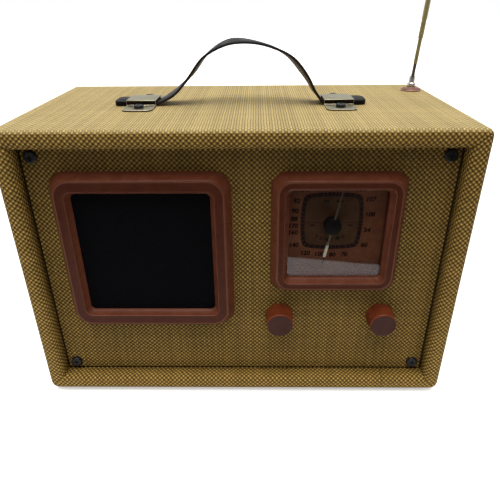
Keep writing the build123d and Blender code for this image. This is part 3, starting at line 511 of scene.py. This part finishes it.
def rounded_loop(half_x, half_z, radius_low, radius_high, steps):
    """One ring of a frame seen from the front, anticlockwise from its lower right corner:
    (x, z, wall before the corner, distance along it, wall after, distance along it)."""
    loop = []
    corners = (((1, -1), radius_low, -90, half_x, half_z), ((1, 1), radius_high, 0, half_z, half_x),
               ((-1, 1), radius_high, 90, half_x, half_z), ((-1, -1), radius_low, 180, half_z, half_x))
    for number, ((side_x, side_z), radius, start, before, after) in enumerate(corners):
        middle = (side_x * (half_x - radius), side_z * (half_z - radius))
        turn_in = math.radians(start)
        way_in = (-math.sin(turn_in), math.cos(turn_in))
        way_out = (-math.cos(turn_in), -math.sin(turn_in))
        for step, (x, z) in enumerate(arc(middle, radius, start, start + 90, steps)):
            swept = radius * math.radians(90 * step / steps)
            run_in = before - radius + swept
            run_out = radius - after - (radius * math.pi / 2 - swept)
            if step == 0:
                loop.append((x - way_in[0] * HOLD, z - way_in[1] * HOLD, number, run_in - HOLD,
                             run_out - HOLD))
            loop.append((x, z, number, run_in, run_out))
            if step == steps:
                loop.append((x + way_out[0] * HOLD, z + way_out[1] * HOLD, number, run_in + HOLD,
                             run_out + HOLD))
    return loop


def frame_mesh(name, centre, sections, steps=8, wear_and_highlight=(), sharp=None):
    """A closed frame. Each section is (half x, half z, lower corner radius, upper one, y); the last
    joins the first. The list after steps names the sections marked for the rim colour, on the bezels a
    painted highlight."""
    loops = [rounded_loop(s[0], s[1], s[2], s[3], steps) for s in sections]
    count = len(loops[0])
    half = (count // 4) // 2
    points = [(centre[0] + p[0], s[4], centre[1] + p[1]) for s, loop in zip(sections, loops) for p in loop]
    outer = max(sections, key=lambda s: s[0])
    lengths = (outer[0], outer[1], outer[0], outer[1])
    radii = (outer[2], outer[3], outer[3], outer[2])
    offsets = [0.0]
    for wall in range(3):
        radius = radii[wall]
        offsets.append(offsets[-1] + lengths[wall] + lengths[wall + 1] - (2 - math.pi / 2) * radius)
    travelled = [0.0]
    for a, b in zip(sections, sections[1:] + sections[:1]):
        travelled.append(travelled[-1] + math.hypot(a[0] - b[0], a[4] - b[4]))
    faces, uvs = [], []
    for s in range(len(sections)):
        t = (s + 1) % len(sections)
        for p in range(count):
            q = (p + 1) % count
            faces.append((s * count + p, t * count + p, t * count + q, s * count + q))
            corner, step = divmod(p, count // 4)
            incoming = step < half
            wall = corner if incoming else (corner + 1) % 4
            for section, point in ((s, p), (t, p), (t, q), (s, q)):
                at = loops[section][point]
                run = at[3] if incoming else at[4]
                if point == q and step == count // 4 - 1:
                    run = at[3]
                row = s + 1 if section == t else s
                uvs.append((offsets[wall] + run, travelled[row]))
    marks = {"wear_and_highlight": [1.0 if s in wear_and_highlight else 0.0 for s in range(len(sections)) for _ in range(count)]}
    return mesh_from(name, points, faces, uvs, marks, sharp)


GROOVE_POWER = 1.6         # above 1, the grooves are narrower than the ribs between them


def lathe(name, centre, profile, segments, flutes, flute_deep, fluted, wear_and_highlight, sharp):
    """Turned about a front-to-back line through centre; profile is (radius, y) from axis to axis. The
    rows in fluted have rounded grooves, and the ribs on the rows in the list after it are marked for the rim
    colour."""
    points, faces, marks = [], [], []
    rows = []
    for number, (radius, y) in enumerate(profile):
        if radius < 1e-6:
            rows.append([len(points)] * segments)
            points.append((centre[0], y, centre[1]))
            marks.append(0.0)
            continue
        rows.append(list(range(len(points), len(points) + segments)))
        for n in range(segments):
            angle = 2 * math.pi * n / segments
            groove = 0.0
            if number in fluted:
                groove = flute_deep * (0.5 + 0.5 * math.cos(flutes * angle)) ** GROOVE_POWER
            points.append((centre[0] + (radius - groove) * math.cos(angle), y,
                           centre[1] + (radius - groove) * math.sin(angle)))
            marks.append(1.0 if number in wear_and_highlight and groove < flute_deep * 0.3 else 0.0)
    for a, b in zip(rows, rows[1:]):
        for n in range(segments):
            m = (n + 1) % segments
            corners = list(dict.fromkeys((a[n], b[n], b[m], a[m])))
            if len(corners) > 2:
                faces.append(corners)
    return mesh_from(name, points, faces, marks={"wear_and_highlight": marks}, sharp=sharp)


WELD, FLATTEN = 0.002, 0.6           # points this near, and facets within this many degrees, are joined
RIDGE_ANGLE, SMOOTH_ANGLE = 32, 38   # edges sharper than the first are eased; than the second, shaded sharp


def soften(node, width):
    """The node's own shape with its edges eased, as a new piece that stands for it."""
    work = bmesh.new()
    work.from_mesh(NODES[node].data)
    layer = work.faces.layers.float.new("wear_and_highlight")
    bmesh.ops.remove_doubles(work, verts=work.verts, dist=WELD * MM)
    bmesh.ops.dissolve_limit(work, angle_limit=math.radians(FLATTEN), verts=work.verts, edges=work.edges)
    ridges = [e for e in work.edges
              if len(e.link_faces) == 2 and e.calc_face_angle(0) > math.radians(RIDGE_ANGLE)]
    result = bmesh.ops.bevel(work, geom=ridges, offset=width * MM, offset_type="OFFSET", segments=2,
                             profile=0.5, affect="EDGES", clamp_overlap=True)
    for face in result["faces"]:
        face[layer] = 1.0
    mesh = bpy.data.meshes.new(node)
    work.to_mesh(mesh)
    work.free()
    smooth(mesh, SMOOTH_ANGLE)
    return piece(node + "_eased", mesh, node)


# ---- the case's cloth ----
FRONT_ROUND, REAR_ROUND, CLOTH = 4.4, 2.0, 0.7
LOW_CORNER, TOP_CORNER, INNER_CORNER = 6.5, 5.2, 0.35
HEM_FRONT, HEM_REAR = FRONT + 14.0, REAR - 10.0
LIP_HOLD = 0.4             # support lines on the lip's flat front


def case_profile():
    """Inset from the outer face and y, round the cloth's section, from its rear hem."""
    inner, rear, front = WALL - REAR_ROUND, REAR - REAR_ROUND, FRONT + FRONT_ROUND
    inner_front = WALL - FRONT_ROUND
    outside = [(WALL, HEM_REAR), (WALL, rear - HOLD)] + arc((inner, rear), REAR_ROUND, 0, 90, 5)
    outside += arc((REAR_ROUND, rear), REAR_ROUND, 90, 180, 5) + [(0.0, rear - HOLD), (0.0, front + HOLD)]
    outside += arc((FRONT_ROUND, front), FRONT_ROUND, 180, 270, 10)
    outside += [(FRONT_ROUND + LIP_HOLD, FRONT), (inner_front - LIP_HOLD, FRONT)]
    outside += arc((inner_front, front), FRONT_ROUND, 270, 360, 10)
    outside += [(WALL, front + HOLD), (WALL, HEM_FRONT)]
    thin = FRONT_ROUND - CLOTH
    inside = [(WALL - CLOTH, HEM_FRONT)] + arc((inner_front, front), thin, 360, 270, 5)
    inside += arc((FRONT_ROUND, front), thin, 270, 180, 5)
    thin = REAR_ROUND - CLOTH
    inside += arc((REAR_ROUND, rear), thin, 180, 90, 4) + arc((inner, rear), thin, 90, 0, 4)
    return outside + inside + [(WALL - CLOTH, HEM_REAR)]


case_sections = []
for inset, y in case_profile():
    corners = [max(corner - inset, INNER_CORNER) for corner in (LOW_CORNER, TOP_CORNER)]
    case_sections.append((HALF_WIDTH - inset, HALF_HEIGHT - inset, *corners, y))
piece("case_cloth", frame_mesh("case_cloth", (0, MIDDLE), case_sections), "tweed_covering")

# ---- the two frames ----
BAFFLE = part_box("baffle_covering")[0].y / MM
BEZEL_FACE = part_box("speaker_bezel")[0].y / MM
BEZEL_CREST = 1.5          # rounding of the outer front edge
BEAD = 0.7                 # rounding of the edge of the opening
BEVEL_END = BEZEL_FACE + 5.0
LEAN, HOLLOW = 3.5, 0.25   # how far the side leans inwards, and how deep the face is hollowed
BEVEL_IN = 2.7             # how far the bevel behind the bead reaches into the opening


def bezel_front(base, corner, opening, opening_corner):
    """The seen part of a frame: leaning side, rounded crest, gently hollow face, bead and bevel, as
    sections and the numbers of the ones that get a painted highlight on the crest and bead."""
    face_half = base / 2 - LEAN
    rows = [(base / 2, base / 2, corner, BAFFLE), (base / 2 - 0.15, base / 2 - 0.15, corner, BAFFLE - 0.5)]
    for dx, y in arc((0, 0), BEZEL_CREST, 8, 90, 6):
        inward = face_half - BEZEL_CREST + dx
        rows.append((inward, inward, corner - 1, BEZEL_FACE + BEZEL_CREST - y))
    start = len(rows)
    half_x, half_z = opening[0] / 2, opening[1] / 2
    flat_half, middle_half = face_half - BEZEL_CREST - 0.5, (face_half + half_x) / 2
    rows.append((flat_half, flat_half, corner - 2, BEZEL_FACE))
    rows.append((middle_half, middle_half, (corner + opening_corner) / 2, BEZEL_FACE + HOLLOW))
    rows.append((half_x + BEAD + 0.4, half_z + BEAD + 0.4, opening_corner + 1.0, BEZEL_FACE + 0.05))
    for dx, y in arc((0, 0), BEAD, 90, 200, 5):
        outward = BEAD + dx
        rows.append((half_x + outward, half_z + outward, opening_corner + outward, BEZEL_FACE + BEAD - y))
    # crest and bead rows, marked for painted highlight lines
    rim_marked = {start - 1, start - 2, len(rows) - 4, len(rows) - 3}
    end_x, end_z = half_x - BEVEL_IN, half_z - BEVEL_IN
    rows.append((end_x + 0.4, end_z + 0.4, opening_corner - 1.4, BEVEL_END - 0.7))
    rows.append((end_x, end_z, opening_corner - 1.5, BEVEL_END))
    return rows, rim_marked


def closed_bezel(name, centre, base, corner, opening, opening_corner, behind):
    """A whole frame: behind has the steps in its back, as (half x, half z, corner radius, y)."""
    rows, rim_marked = bezel_front(base, corner, opening, opening_corner)
    rows += behind
    sections = [(hx, hz, r, r, y) for hx, hz, r, y in rows]
    return piece(name + "_moulding", frame_mesh(name, centre, sections, 12, rim_marked, sharp=48), name)


cloth_low, cloth_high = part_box("grille_cloth")
CLOTH_HOLE, REBATE, REBATE_Y = (45.8, 45.3), (50.0, 49.5), cloth_low.y / MM - 0.05
closed_bezel("speaker_bezel", SPEAKER, base=119.5, corner=12, opening=(97.0, 96.0), opening_corner=5.0,
             behind=[(*CLOTH_HOLE, 3.5, REBATE_Y), (*REBATE, 2.0, REBATE_Y), (*REBATE, 2.0, BAFFLE)])
WINDOW_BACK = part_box("dial_window")[1].y / MM
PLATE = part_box("dial_plate")[0].y / MM
WINDOW_HOLE, WINDOW_POCKET, DIAL_HOLE, PLATE_POCKET = 32.6, 35.95, 33.5, 38.0
POCKET_FRONT, POCKET_BACK = WINDOW_BACK - 1.05, WINDOW_BACK + 0.02
closed_bezel("dial_bezel", DIAL, base=89.0, corner=10, opening=(70.6, 70.6), opening_corner=4.5,
             behind=[(half, half, radius, y) for half, radius, y in (
                 (WINDOW_HOLE, 3.0, POCKET_FRONT), (WINDOW_POCKET, 2.0, POCKET_FRONT),
                 (WINDOW_POCKET, 2.0, POCKET_BACK), (DIAL_HOLE, 2.0, POCKET_BACK), (DIAL_HOLE, 2.0, PLATE),
                 (PLATE_POCKET, 2.0, PLATE), (PLATE_POCKET, 2.0, BAFFLE))])


# ---- grille cloth, drawn over its board ----
def stretched_cloth():
    """One sheet with a slight sag and pull marks toward its corners."""
    low, high = cloth_low / MM, cloth_high / MM
    count, clear, sag, marks = 48, 0.22, 0.12, 0.04
    points, faces = [], []
    for j in range(count + 1):
        for i in range(count + 1):
            u, v = i / count, j / count
            x, z = low.x + (high.x - low.x) * u, low.z + (high.z - low.z) * v
            belly = sag * math.sin(math.pi * u) * math.sin(math.pi * v)
            pull = marks * math.sin(9 * u + 4 * v) * math.sin(math.pi * u) * math.sin(math.pi * v)
            points.append((x, low.y + clear + belly + pull, z))
    for j in range(count):
        for i in range(count):
            a = j * (count + 1) + i
            faces.append((a, a + 1, a + count + 2, a + count + 1))
    mesh = mesh_from("grille", points, faces)
    cloth = piece("grille_sheet", mesh, "grille_cloth")


stretched_cloth()


# ---- knobs ----
FLUTES, FLUTE_DEEP, STEPS_PER_FLUTE = 44, 0.42, 8
BORE, BORE_DEEP = 3.0, 10


def fluted_knob(node, centre):
    """A knob with a slightly dished face and a finely fluted skirt that widens to its foot."""
    low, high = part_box(node)
    face, back = low.y / MM, high.y / MM
    rim, foot, crest = 9.5, 10.2, 0.9
    profile = [(0, face + 0.35), (3.0, face + 0.3), (6.6, face + 0.12), (rim - 1.5, face)]
    profile += [(rim - crest + dx, face + crest - y) for dx, y in arc((0, 0), crest, 80, 12, 4)]
    start, shares = len(profile), (0, 0.3, 0.6, 0.92, 1.0)
    profile += [(rim + (foot - rim) * t, face + 1.4 + (back - face - 2.6) * t) for t in shares]
    profile += [(foot, back - 0.8), (foot, back - 0.2), (foot - 0.2, back)]
    profile += [(BORE, back), (BORE, back - BORE_DEEP), (0, back - BORE_DEEP)]
    mesh = lathe(node, centre, profile, FLUTES * STEPS_PER_FLUTE, FLUTES, FLUTE_DEEP,
                 fluted=range(start, start + 4), wear_and_highlight=(start - 2, start - 1), sharp=40)
    return piece(node + "_fluted", mesh, node)


VOLUME, TUNING = (27.5, 67.0), (102.0, 67.0)
fluted_knob("volume_knob", VOLUME)
fluted_knob("tuning_knob", TUNING)

# ---- eased metal and moulded pieces ----
for node, width in (("handle_caps", 0.3), ("cap_screws", 0.25), ("baffle_screws", 0.3), ("rear_screws", 0.3),
                    ("rubber_feet", 0.7), ("strap_end_left", 1.1), ("strap_end_right", 1.1),
                    ("antenna_base", 0.25), ("antenna_swivel", 0.15), ("antenna_link", 0.12),
                    ("antenna_tube", 0.12), ("antenna_sleeve", 0.12), ("antenna_rod", 0.2),
                    ("battery_door", 0.35), ("rear_panel", 0.3), ("earphone_jack", 0.15), ("dc_jack", 0.15),
                    ("band_switch_slider", 0.2), ("pointer_hub", 0.2), ("dial_pointer", 0.05)):
    soften(node, width)

# ---- strap ----
# the band's middle line from the left cap to the right one: x, and height over the case
ARCH = [(-61.3, 1.6), (-49, 8.2), (-36.5, 20), (-25.5, 33), (-11, 41.2), (3, 42.4), (20, 39), (34.5, 32),
        (45.5, 20), (53, 8.6), (58.8, 1.6)]


def smooth_line(points, steps):
    """Catmull-Rom line through the points."""
    ends = [points[0]] + list(points) + [points[-1]]
    line = []
    for a, b, c, d in zip(ends, ends[1:], ends[2:], ends[3:]):
        for n in range(steps):
            t = n / steps
            line.append(tuple(0.5 * (2 * q + (r - p) * t + (2 * p - 5 * q + 4 * r - s) * t * t
                                     + (3 * q - p - 3 * r + s) * t ** 3) for p, q, r, s in zip(a, b, c, d)))
    return line + [tuple(points[-1])]


# how far the band is turned about its own run, in degrees, by its share of the way along
TWIST = [(0.0, 0), (0.1, 4), (0.24, -4), (0.42, 5), (0.6, -3), (0.76, -9), (0.9, -3), (1.0, 0)]


def eased(table, at):
    """Value at a place in a table of (place, value), eased from one entry to the next."""
    for (a, low), (b, high) in zip(table, table[1:]):
        if at <= b:
            return low + (high - low) * (0.5 - 0.5 * math.cos(math.pi * (at - a) / (b - a)))
    return table[-1][1]


def strap_mesh():
    """The arched band with rounded edges, a slight twist, and marks for its worn edge and bare side."""
    line = smooth_line(ARCH, 8)
    half, thick, rim_marked, cupped = 9.7, 0.85, 0.9, 0.35
    outline = []
    for side, start in ((1, -90), (-1, 90)):
        for dx, dz in arc((0, 0), thick, start, start + 180, 6):
            outline.append((side * (half - thick) + dx, dz))
    points, wear_and_highlight, under = [], [], []
    for n, (x, rise) in enumerate(line):
        before, after = line[max(n - 1, 0)], line[min(n + 1, len(line) - 1)]
        run = Vector((after[0] - before[0], 0, after[1] - before[1])).normalized()
        up = Vector((-run.z, 0, run.x))
        share = n / (len(line) - 1)
        twist = math.radians(eased(TWIST, share))
        across = Vector((0, math.cos(twist), 0)) + up * math.sin(twist)
        normal = up * math.cos(twist) - Vector((0, math.sin(twist), 0))
        for w, h in outline:
            cup = -cupped * (w / half) ** 2
            at = Vector((x, 0, TOP + rise)) + across * w + normal * (h + cup)
            points.append(tuple(at))
            wear_and_highlight.append(0.8 if abs(w) > half - rim_marked else 0.0)
            under.append(1.0 if h < -0.2 * thick else 0.0)
    size = len(outline)
    faces = [tuple(range(size)), tuple(reversed(range(len(points) - size, len(points))))]
    for n in range(len(line) - 1):
        for p in range(size):
            q = (p + 1) % size
            faces.append((n * size + p, (n + 1) * size + p, (n + 1) * size + q, n * size + q))
    return mesh_from("strap", points, faces, marks={"wear_and_highlight": wear_and_highlight, "under": under}, sharp=60)


strap = piece("strap_band", strap_mesh(), "handle_strap")
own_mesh(strap)


# ---- print on the dial ----
INK = plain("dial_ink", rgb(20, 9, 6), rgb(10, 5, 4), 0.5, (0.6, 0.75), 0.01, Specular_IOR_Level=0.1)
FIELD = plain("dial_field", rgb(106, 73, 46), rgb(88, 59, 36), 1.2, (0.5, 0.65), 0.02, Specular_IOR_Level=0.2)
RING = plain("dial_ring", rgb(45, 16, 14), rgb(28, 10, 10), 0.8, (0.5, 0.65), 0.02, Specular_IOR_Level=0.2)
TICKS = plain("dial_ticks", rgb(83, 52, 43), rgb(65, 39, 33), 0.6, (0.45, 0.6), 0.01)
LAYER = 0.06               # thickness of one printed layer
FIRST, SECOND, THIRD = (PLATE - n * LAYER for n in (1, 2, 3))   # fronts of the layers on the plate


def printed(name, outlines, front, material):
    """Flat closed figures of one layer's thickness on the dial plate: (x, z) outlines, or (outer, inner)
    pairs of equal length for rings."""
    points, faces = [], []
    for outer, inner in outlines:
        start = len(points)
        count = len(outer)
        for y in (front, front + LAYER):
            points += [(x, y, z) for x, z in outer]
            points += [(x, y, z) for x, z in inner or []]
        size = count * (2 if inner else 1)
        for n in range(count):
            m = (n + 1) % count
            faces.append((start + n, start + n + size, start + m + size, start + m))
            if inner:
                a, b = start + count + n, start + count + m
                faces.append((a, b, b + size, a + size))
                faces.append((start + n, start + m, b, a))
                faces.append((start + n + size, a + size, b + size, start + m + size))
        if not inner:
            faces.append(tuple(range(start, start + count)))
            faces.append(tuple(reversed(range(start + size, start + size + count))))
    mesh = mesh_from(name, points, faces, sharp=30)
    thing = piece(name, mesh, body=body_of("dial_plate"), material=material)


CUSHION_POINTS = 96


def cushion(half_x, half_z, bow, centre):
    """Square whose sides swell by bow at their middles, with rounded corners."""
    outline = []
    for n in range(CUSHION_POINTS):
        angle = 2 * math.pi * n / CUSHION_POINTS
        c, s = math.cos(angle), math.sin(angle)
        low, high = 0.0, 2 * half_x
        for _ in range(30):
            reach = (low + high) / 2
            across = abs(reach * c) / (half_x - bow * (reach * s / half_z) ** 2)
            along = abs(reach * s) / (half_z - bow * (reach * c / half_x) ** 2)
            inside = across ** 14 + along ** 14 < 1
            low, high = (reach, high) if inside else (low, reach)
        outline.append((centre[0] + reach * c, centre[1] + reach * s))
    return outline


RING_AT = (DIAL_AXIS[0], DIAL_AXIS[1] + 1.4)
ring_outer, ring_inner = cushion(21.3, 21.4, 2.0, RING_AT), cushion(18.6, 18.5, 1.6, RING_AT)
printed("dial_ring", [(ring_outer, ring_inner)], SECOND, RING)
printed("dial_field", [(cushion(18.7, 18.6, 1.6, RING_AT), None)], FIRST, FIELD)


def bar(x, z, dx, dz, width):
    """Thin rectangle centred at (x, z) that reaches (dx, dz) each way."""
    long = math.hypot(dx, dz)
    nx, nz = -dz / long * width / 2, dx / long * width / 2
    return [(x - dx - nx, z - dz - nz), (x + dx - nx, z + dz - nz), (x + dx + nx, z + dz + nz),
            (x - dx + nx, z - dz + nz)]


ticks = []
TICK_COUNT, TICK_WIDTH = 44, 0.45
SHORT_TICK, LONG_TICK = 0.32, 0.42   # half lengths, as shares of the ring's width
for n in range(TICK_COUNT):
    index = round((n + 0.5) / TICK_COUNT * CUSHION_POINTS) % CUSHION_POINTS
    (xo, zo), (xi, zi) = ring_outer[index], ring_inner[index]
    share = SHORT_TICK if n % 2 else LONG_TICK
    ticks.append((bar((xo + xi) / 2, (zo + zi) / 2, (xo - xi) * share, (zo - zi) * share, TICK_WIDTH), None))
printed("dial_ticks", ticks, THIRD, TICKS)


FONT_PER_CAP, SLANT, BOLD = 1.38, 0.1, 0.052   # font size and stroke growth are shares of the cap height


def lettering(name, words):
    """Words as flat print: (text, x, z, cap height, turn in degrees)."""
    work = bmesh.new()
    for text, x, z, size, turn in words:
        curve = bpy.data.curves.new(name, "FONT")
        curve.body, curve.size = text, size * FONT_PER_CAP * MM
        curve.align_x, curve.align_y = "CENTER", "CENTER"
        curve.extrude = LAYER * MM / 2
        curve.shear = SLANT
        curve.offset = BOLD * size * MM
        curve.resolution_u = 3
        holder = bpy.data.objects.new(name, curve)
        bpy.context.scene.collection.objects.link(holder)
        bpy.context.view_layer.update()
        drawn = holder.evaluated_get(bpy.context.evaluated_depsgraph_get())
        mesh = bpy.data.meshes.new_from_object(drawn)
        at = Matrix.Translation(Vector((x, PLATE - 1.5 * LAYER, z)) * MM)
        upright = Matrix.Rotation(math.pi / 2, 4, "X")
        mesh.transform(at @ Matrix.Rotation(math.radians(turn), 4, "Y") @ upright)
        work.from_mesh(mesh)
        bpy.data.objects.remove(holder)
        bpy.data.meshes.remove(mesh)
    bmesh.ops.remove_doubles(work, verts=work.verts, dist=0.001 * MM)
    mesh = bpy.data.meshes.new(name)
    work.to_mesh(mesh)
    work.free()
    thing = piece(name, mesh, body=body_of("dial_plate"), material=INK)


# where each number stands, from the dial window's middle, and how tall they are
NUMBERS = [("92", -27.1, 21.4), ("90", -27.9, 14.0), ("88", -28.4, 8.0), ("170", -28.9, 2.7),
           ("160", -28.9, -2.3), ("140", -27.9, -12.1), ("120", -19.6, -18.6), ("100", -9.6, -19.4),
           ("80", -0.2, -20.0), ("70", 8.3, -19.8), ("60", 21.7, -12.2), ("54", 22.6, -0.5),
           ("108", 23.4, 11.3), ("107", 22.8, 22.4), ("94", -21.6, 29.6), ("96", -12.0, 30.4),
           ("98", -3.0, 30.6), ("100", 6.2, 30.4), ("104", 15.6, 29.6)]
NUMBER_CAP = 3.3
lettering("dial_numbers", [(text, DIAL[0] + x, DIAL[1] + z, NUMBER_CAP, 0) for text, x, z in NUMBERS])
# a word along an arc: its radius, middle, degrees between letters and cap height
ARC_WORD, ARC_R, ARC_AT = "TUNING", 21.0, (DIAL_AXIS[0] - 0.8, DIAL_AXIS[1] + 8.6)
LETTER_TURN, LETTER_CAP = 10.5, 2.6
words = [("FM", DIAL[0] - 7.0, DIAL[1] + 21.2, 1.9, 0), ("MHz", DIAL[0] + 2.2, DIAL[1] + 21.2, 1.9, 0),
         ("AM", DIAL[0] - 15.6, DIAL[1] + 3.2, 1.5, 0), ("kHz", DIAL[0] + 10.6, DIAL[1] + 3.2, 1.5, 0)]
for n, letter in enumerate(ARC_WORD):
    a = math.radians((n - (len(ARC_WORD) - 1) / 2) * LETTER_TURN)
    words.append((letter, ARC_AT[0] + ARC_R * math.sin(a), ARC_AT[1] - ARC_R * math.cos(a), LETTER_CAP,
                  -math.degrees(a)))
lettering("dial_words", words)
midline = bar(DIAL_AXIS[0], DIAL[1] + 5.2, 18.2, 0, 0.25)
printed("dial_midline", [(midline, None)], SECOND, INK)

# ---- carried-over CAD nodes take their slot's material ----
for name, thing in NODES.items():
    thing.data.materials.clear()
    thing.data.materials.append(MATERIAL[SLOT_OF[name]])

# ---------------------------------------------------------------- studio
scene = bpy.context.scene
scene.view_settings.view_transform = "Standard"


def plane(name, centre, size, material):
    mesh = bpy.data.meshes.new(name)
    x, y = size[0] / 2, size[1] / 2
    mesh.from_pydata([(-x, -y, 0), (x, -y, 0), (x, y, 0), (-x, y, 0)], [], [(0, 1, 2, 3)])
    mesh.materials.append(material)
    thing = bpy.data.objects.new(name, mesh)
    thing.location = centre
    scene.collection.objects.link(thing)
    return thing


# The floor glows a little more where it is seen directly, so that it merges with the white behind.
FLOOR_GLOW, FLOOR_SIZE = (0.04, 0.45), (12, 12)
floor_paint = Paint("floor", Roughness=0.9, Base_Color=(0.9, 0.9, 0.9, 1), Emission_Color=(1, 1, 1, 1))
floor_glow = floor_paint.ramp(floor_paint.add("LightPath"), 0.0, 1.0, *FLOOR_GLOW)
floor_paint.feed(floor_paint.surface.inputs["Emission Strength"], floor_glow)
plane("floor", (0, 0, 0), FLOOR_SIZE, floor_paint.material)

# The pale sheet under the radio ends a short way in front of it: beyond that edge a darker room is
# what its glossy and front faces see. The edge is where the window mirrors it.
ROOM_EDGE, ROOM_TURN, ROOM_SIZE = Vector((0.095, -0.271, 0.0012)), math.radians(10.5), (3.2, 2.4)
room_paint = Paint("room", Roughness=0.9, Specular_IOR_Level=0.0, Base_Color=(0.02, 0.012, 0.009, 1))
outward = Matrix.Rotation(ROOM_TURN, 3, "Z") @ Vector((0, -ROOM_SIZE[1] / 2, 0))
room = plane("room_in_front", ROOM_EDGE + outward, ROOM_SIZE, room_paint.material)
room.rotation_euler = (0, 0, ROOM_TURN)
for ray in ("camera", "shadow", "transmission", "volume_scatter"):
    setattr(room, "visible_" + ray, False)


FRONT_SKY, BACK_SKY = 0.16, 0.85


def studio_world():
    """White behind everything; the light it sheds is dimmer from the room in front."""
    world = bpy.data.worlds.new("studio")
    world.use_nodes = True
    nodes, links = world.node_tree.nodes, world.node_tree.links
    shed, seen = nodes["Background"], nodes.new("ShaderNodeBackground")
    shed.inputs["Color"].default_value = seen.inputs["Color"].default_value = (1, 1, 1, 1)
    way = nodes.new("ShaderNodeTexCoord")
    split = nodes.new("ShaderNodeSeparateXYZ")
    links.new(way.outputs["Generated"], split.inputs[0])
    slope = nodes.new("ShaderNodeMapRange")
    slope.interpolation_type = "SMOOTHSTEP"
    for socket, value in zip(slope.inputs[1:5], (-0.9, 0.4, FRONT_SKY, BACK_SKY)):
        socket.default_value = value
    links.new(split.outputs["Y"], slope.inputs[0])
    links.new(slope.outputs[0], shed.inputs["Strength"])
    path, mix = nodes.new("ShaderNodeLightPath"), nodes.new("ShaderNodeMixShader")
    links.new(path.outputs["Is Camera Ray"], mix.inputs[0])
    links.new(shed.outputs[0], mix.inputs[1])
    links.new(seen.outputs[0], mix.inputs[2])
    links.new(mix.outputs[0], nodes["World Output"].inputs[0])
    return world


scene.world = studio_world()


def soft_sun(name, azimuth, elevation, spread, strength):
    """Even light from one side; azimuth 0 is in front of the radio, 90 on its right. spread is how wide
    the source looks, in degrees."""
    lamp = bpy.data.lights.new(name, "SUN")
    lamp.angle, lamp.energy = math.radians(spread), strength
    thing = bpy.data.objects.new(name, lamp)
    a, e = math.radians(azimuth), math.radians(elevation)
    away = Vector((math.sin(a) * math.cos(e), -math.cos(a) * math.cos(e), math.sin(e)))
    thing.rotation_euler = away.to_track_quat("Z", "Y").to_euler()
    scene.collection.objects.link(thing)


soft_sun("key", azimuth=-12, elevation=67, spread=36, strength=1.35)
soft_sun("overhead", azimuth=20, elevation=82, spread=50, strength=1.35)

# The camera as fitted to the photo: where it stands in metres, then the degrees that it is turned to the
# left, tipped down and rolled anticlockwise.
CAMERA_AT, CAMERA_TURN, CAMERA_DOWN, CAMERA_ROLL = (0.01088, -0.36214, 0.27854), 0.94, 28.07, -0.52
lens = bpy.data.cameras.new("camera")
lens.lens, lens.sensor_width, lens.clip_start = 34.48, 36, 0.01
camera = bpy.data.objects.new("camera", lens)
camera.matrix_world = (Matrix.Translation(CAMERA_AT)
                       @ Matrix.Rotation(math.radians(CAMERA_TURN), 4, "Z")
                       @ Matrix.Rotation(math.radians(90 - CAMERA_DOWN), 4, "X")
                       @ Matrix.Rotation(math.radians(CAMERA_ROLL), 4, "Z"))
scene.collection.objects.link(camera)
scene.camera = camera
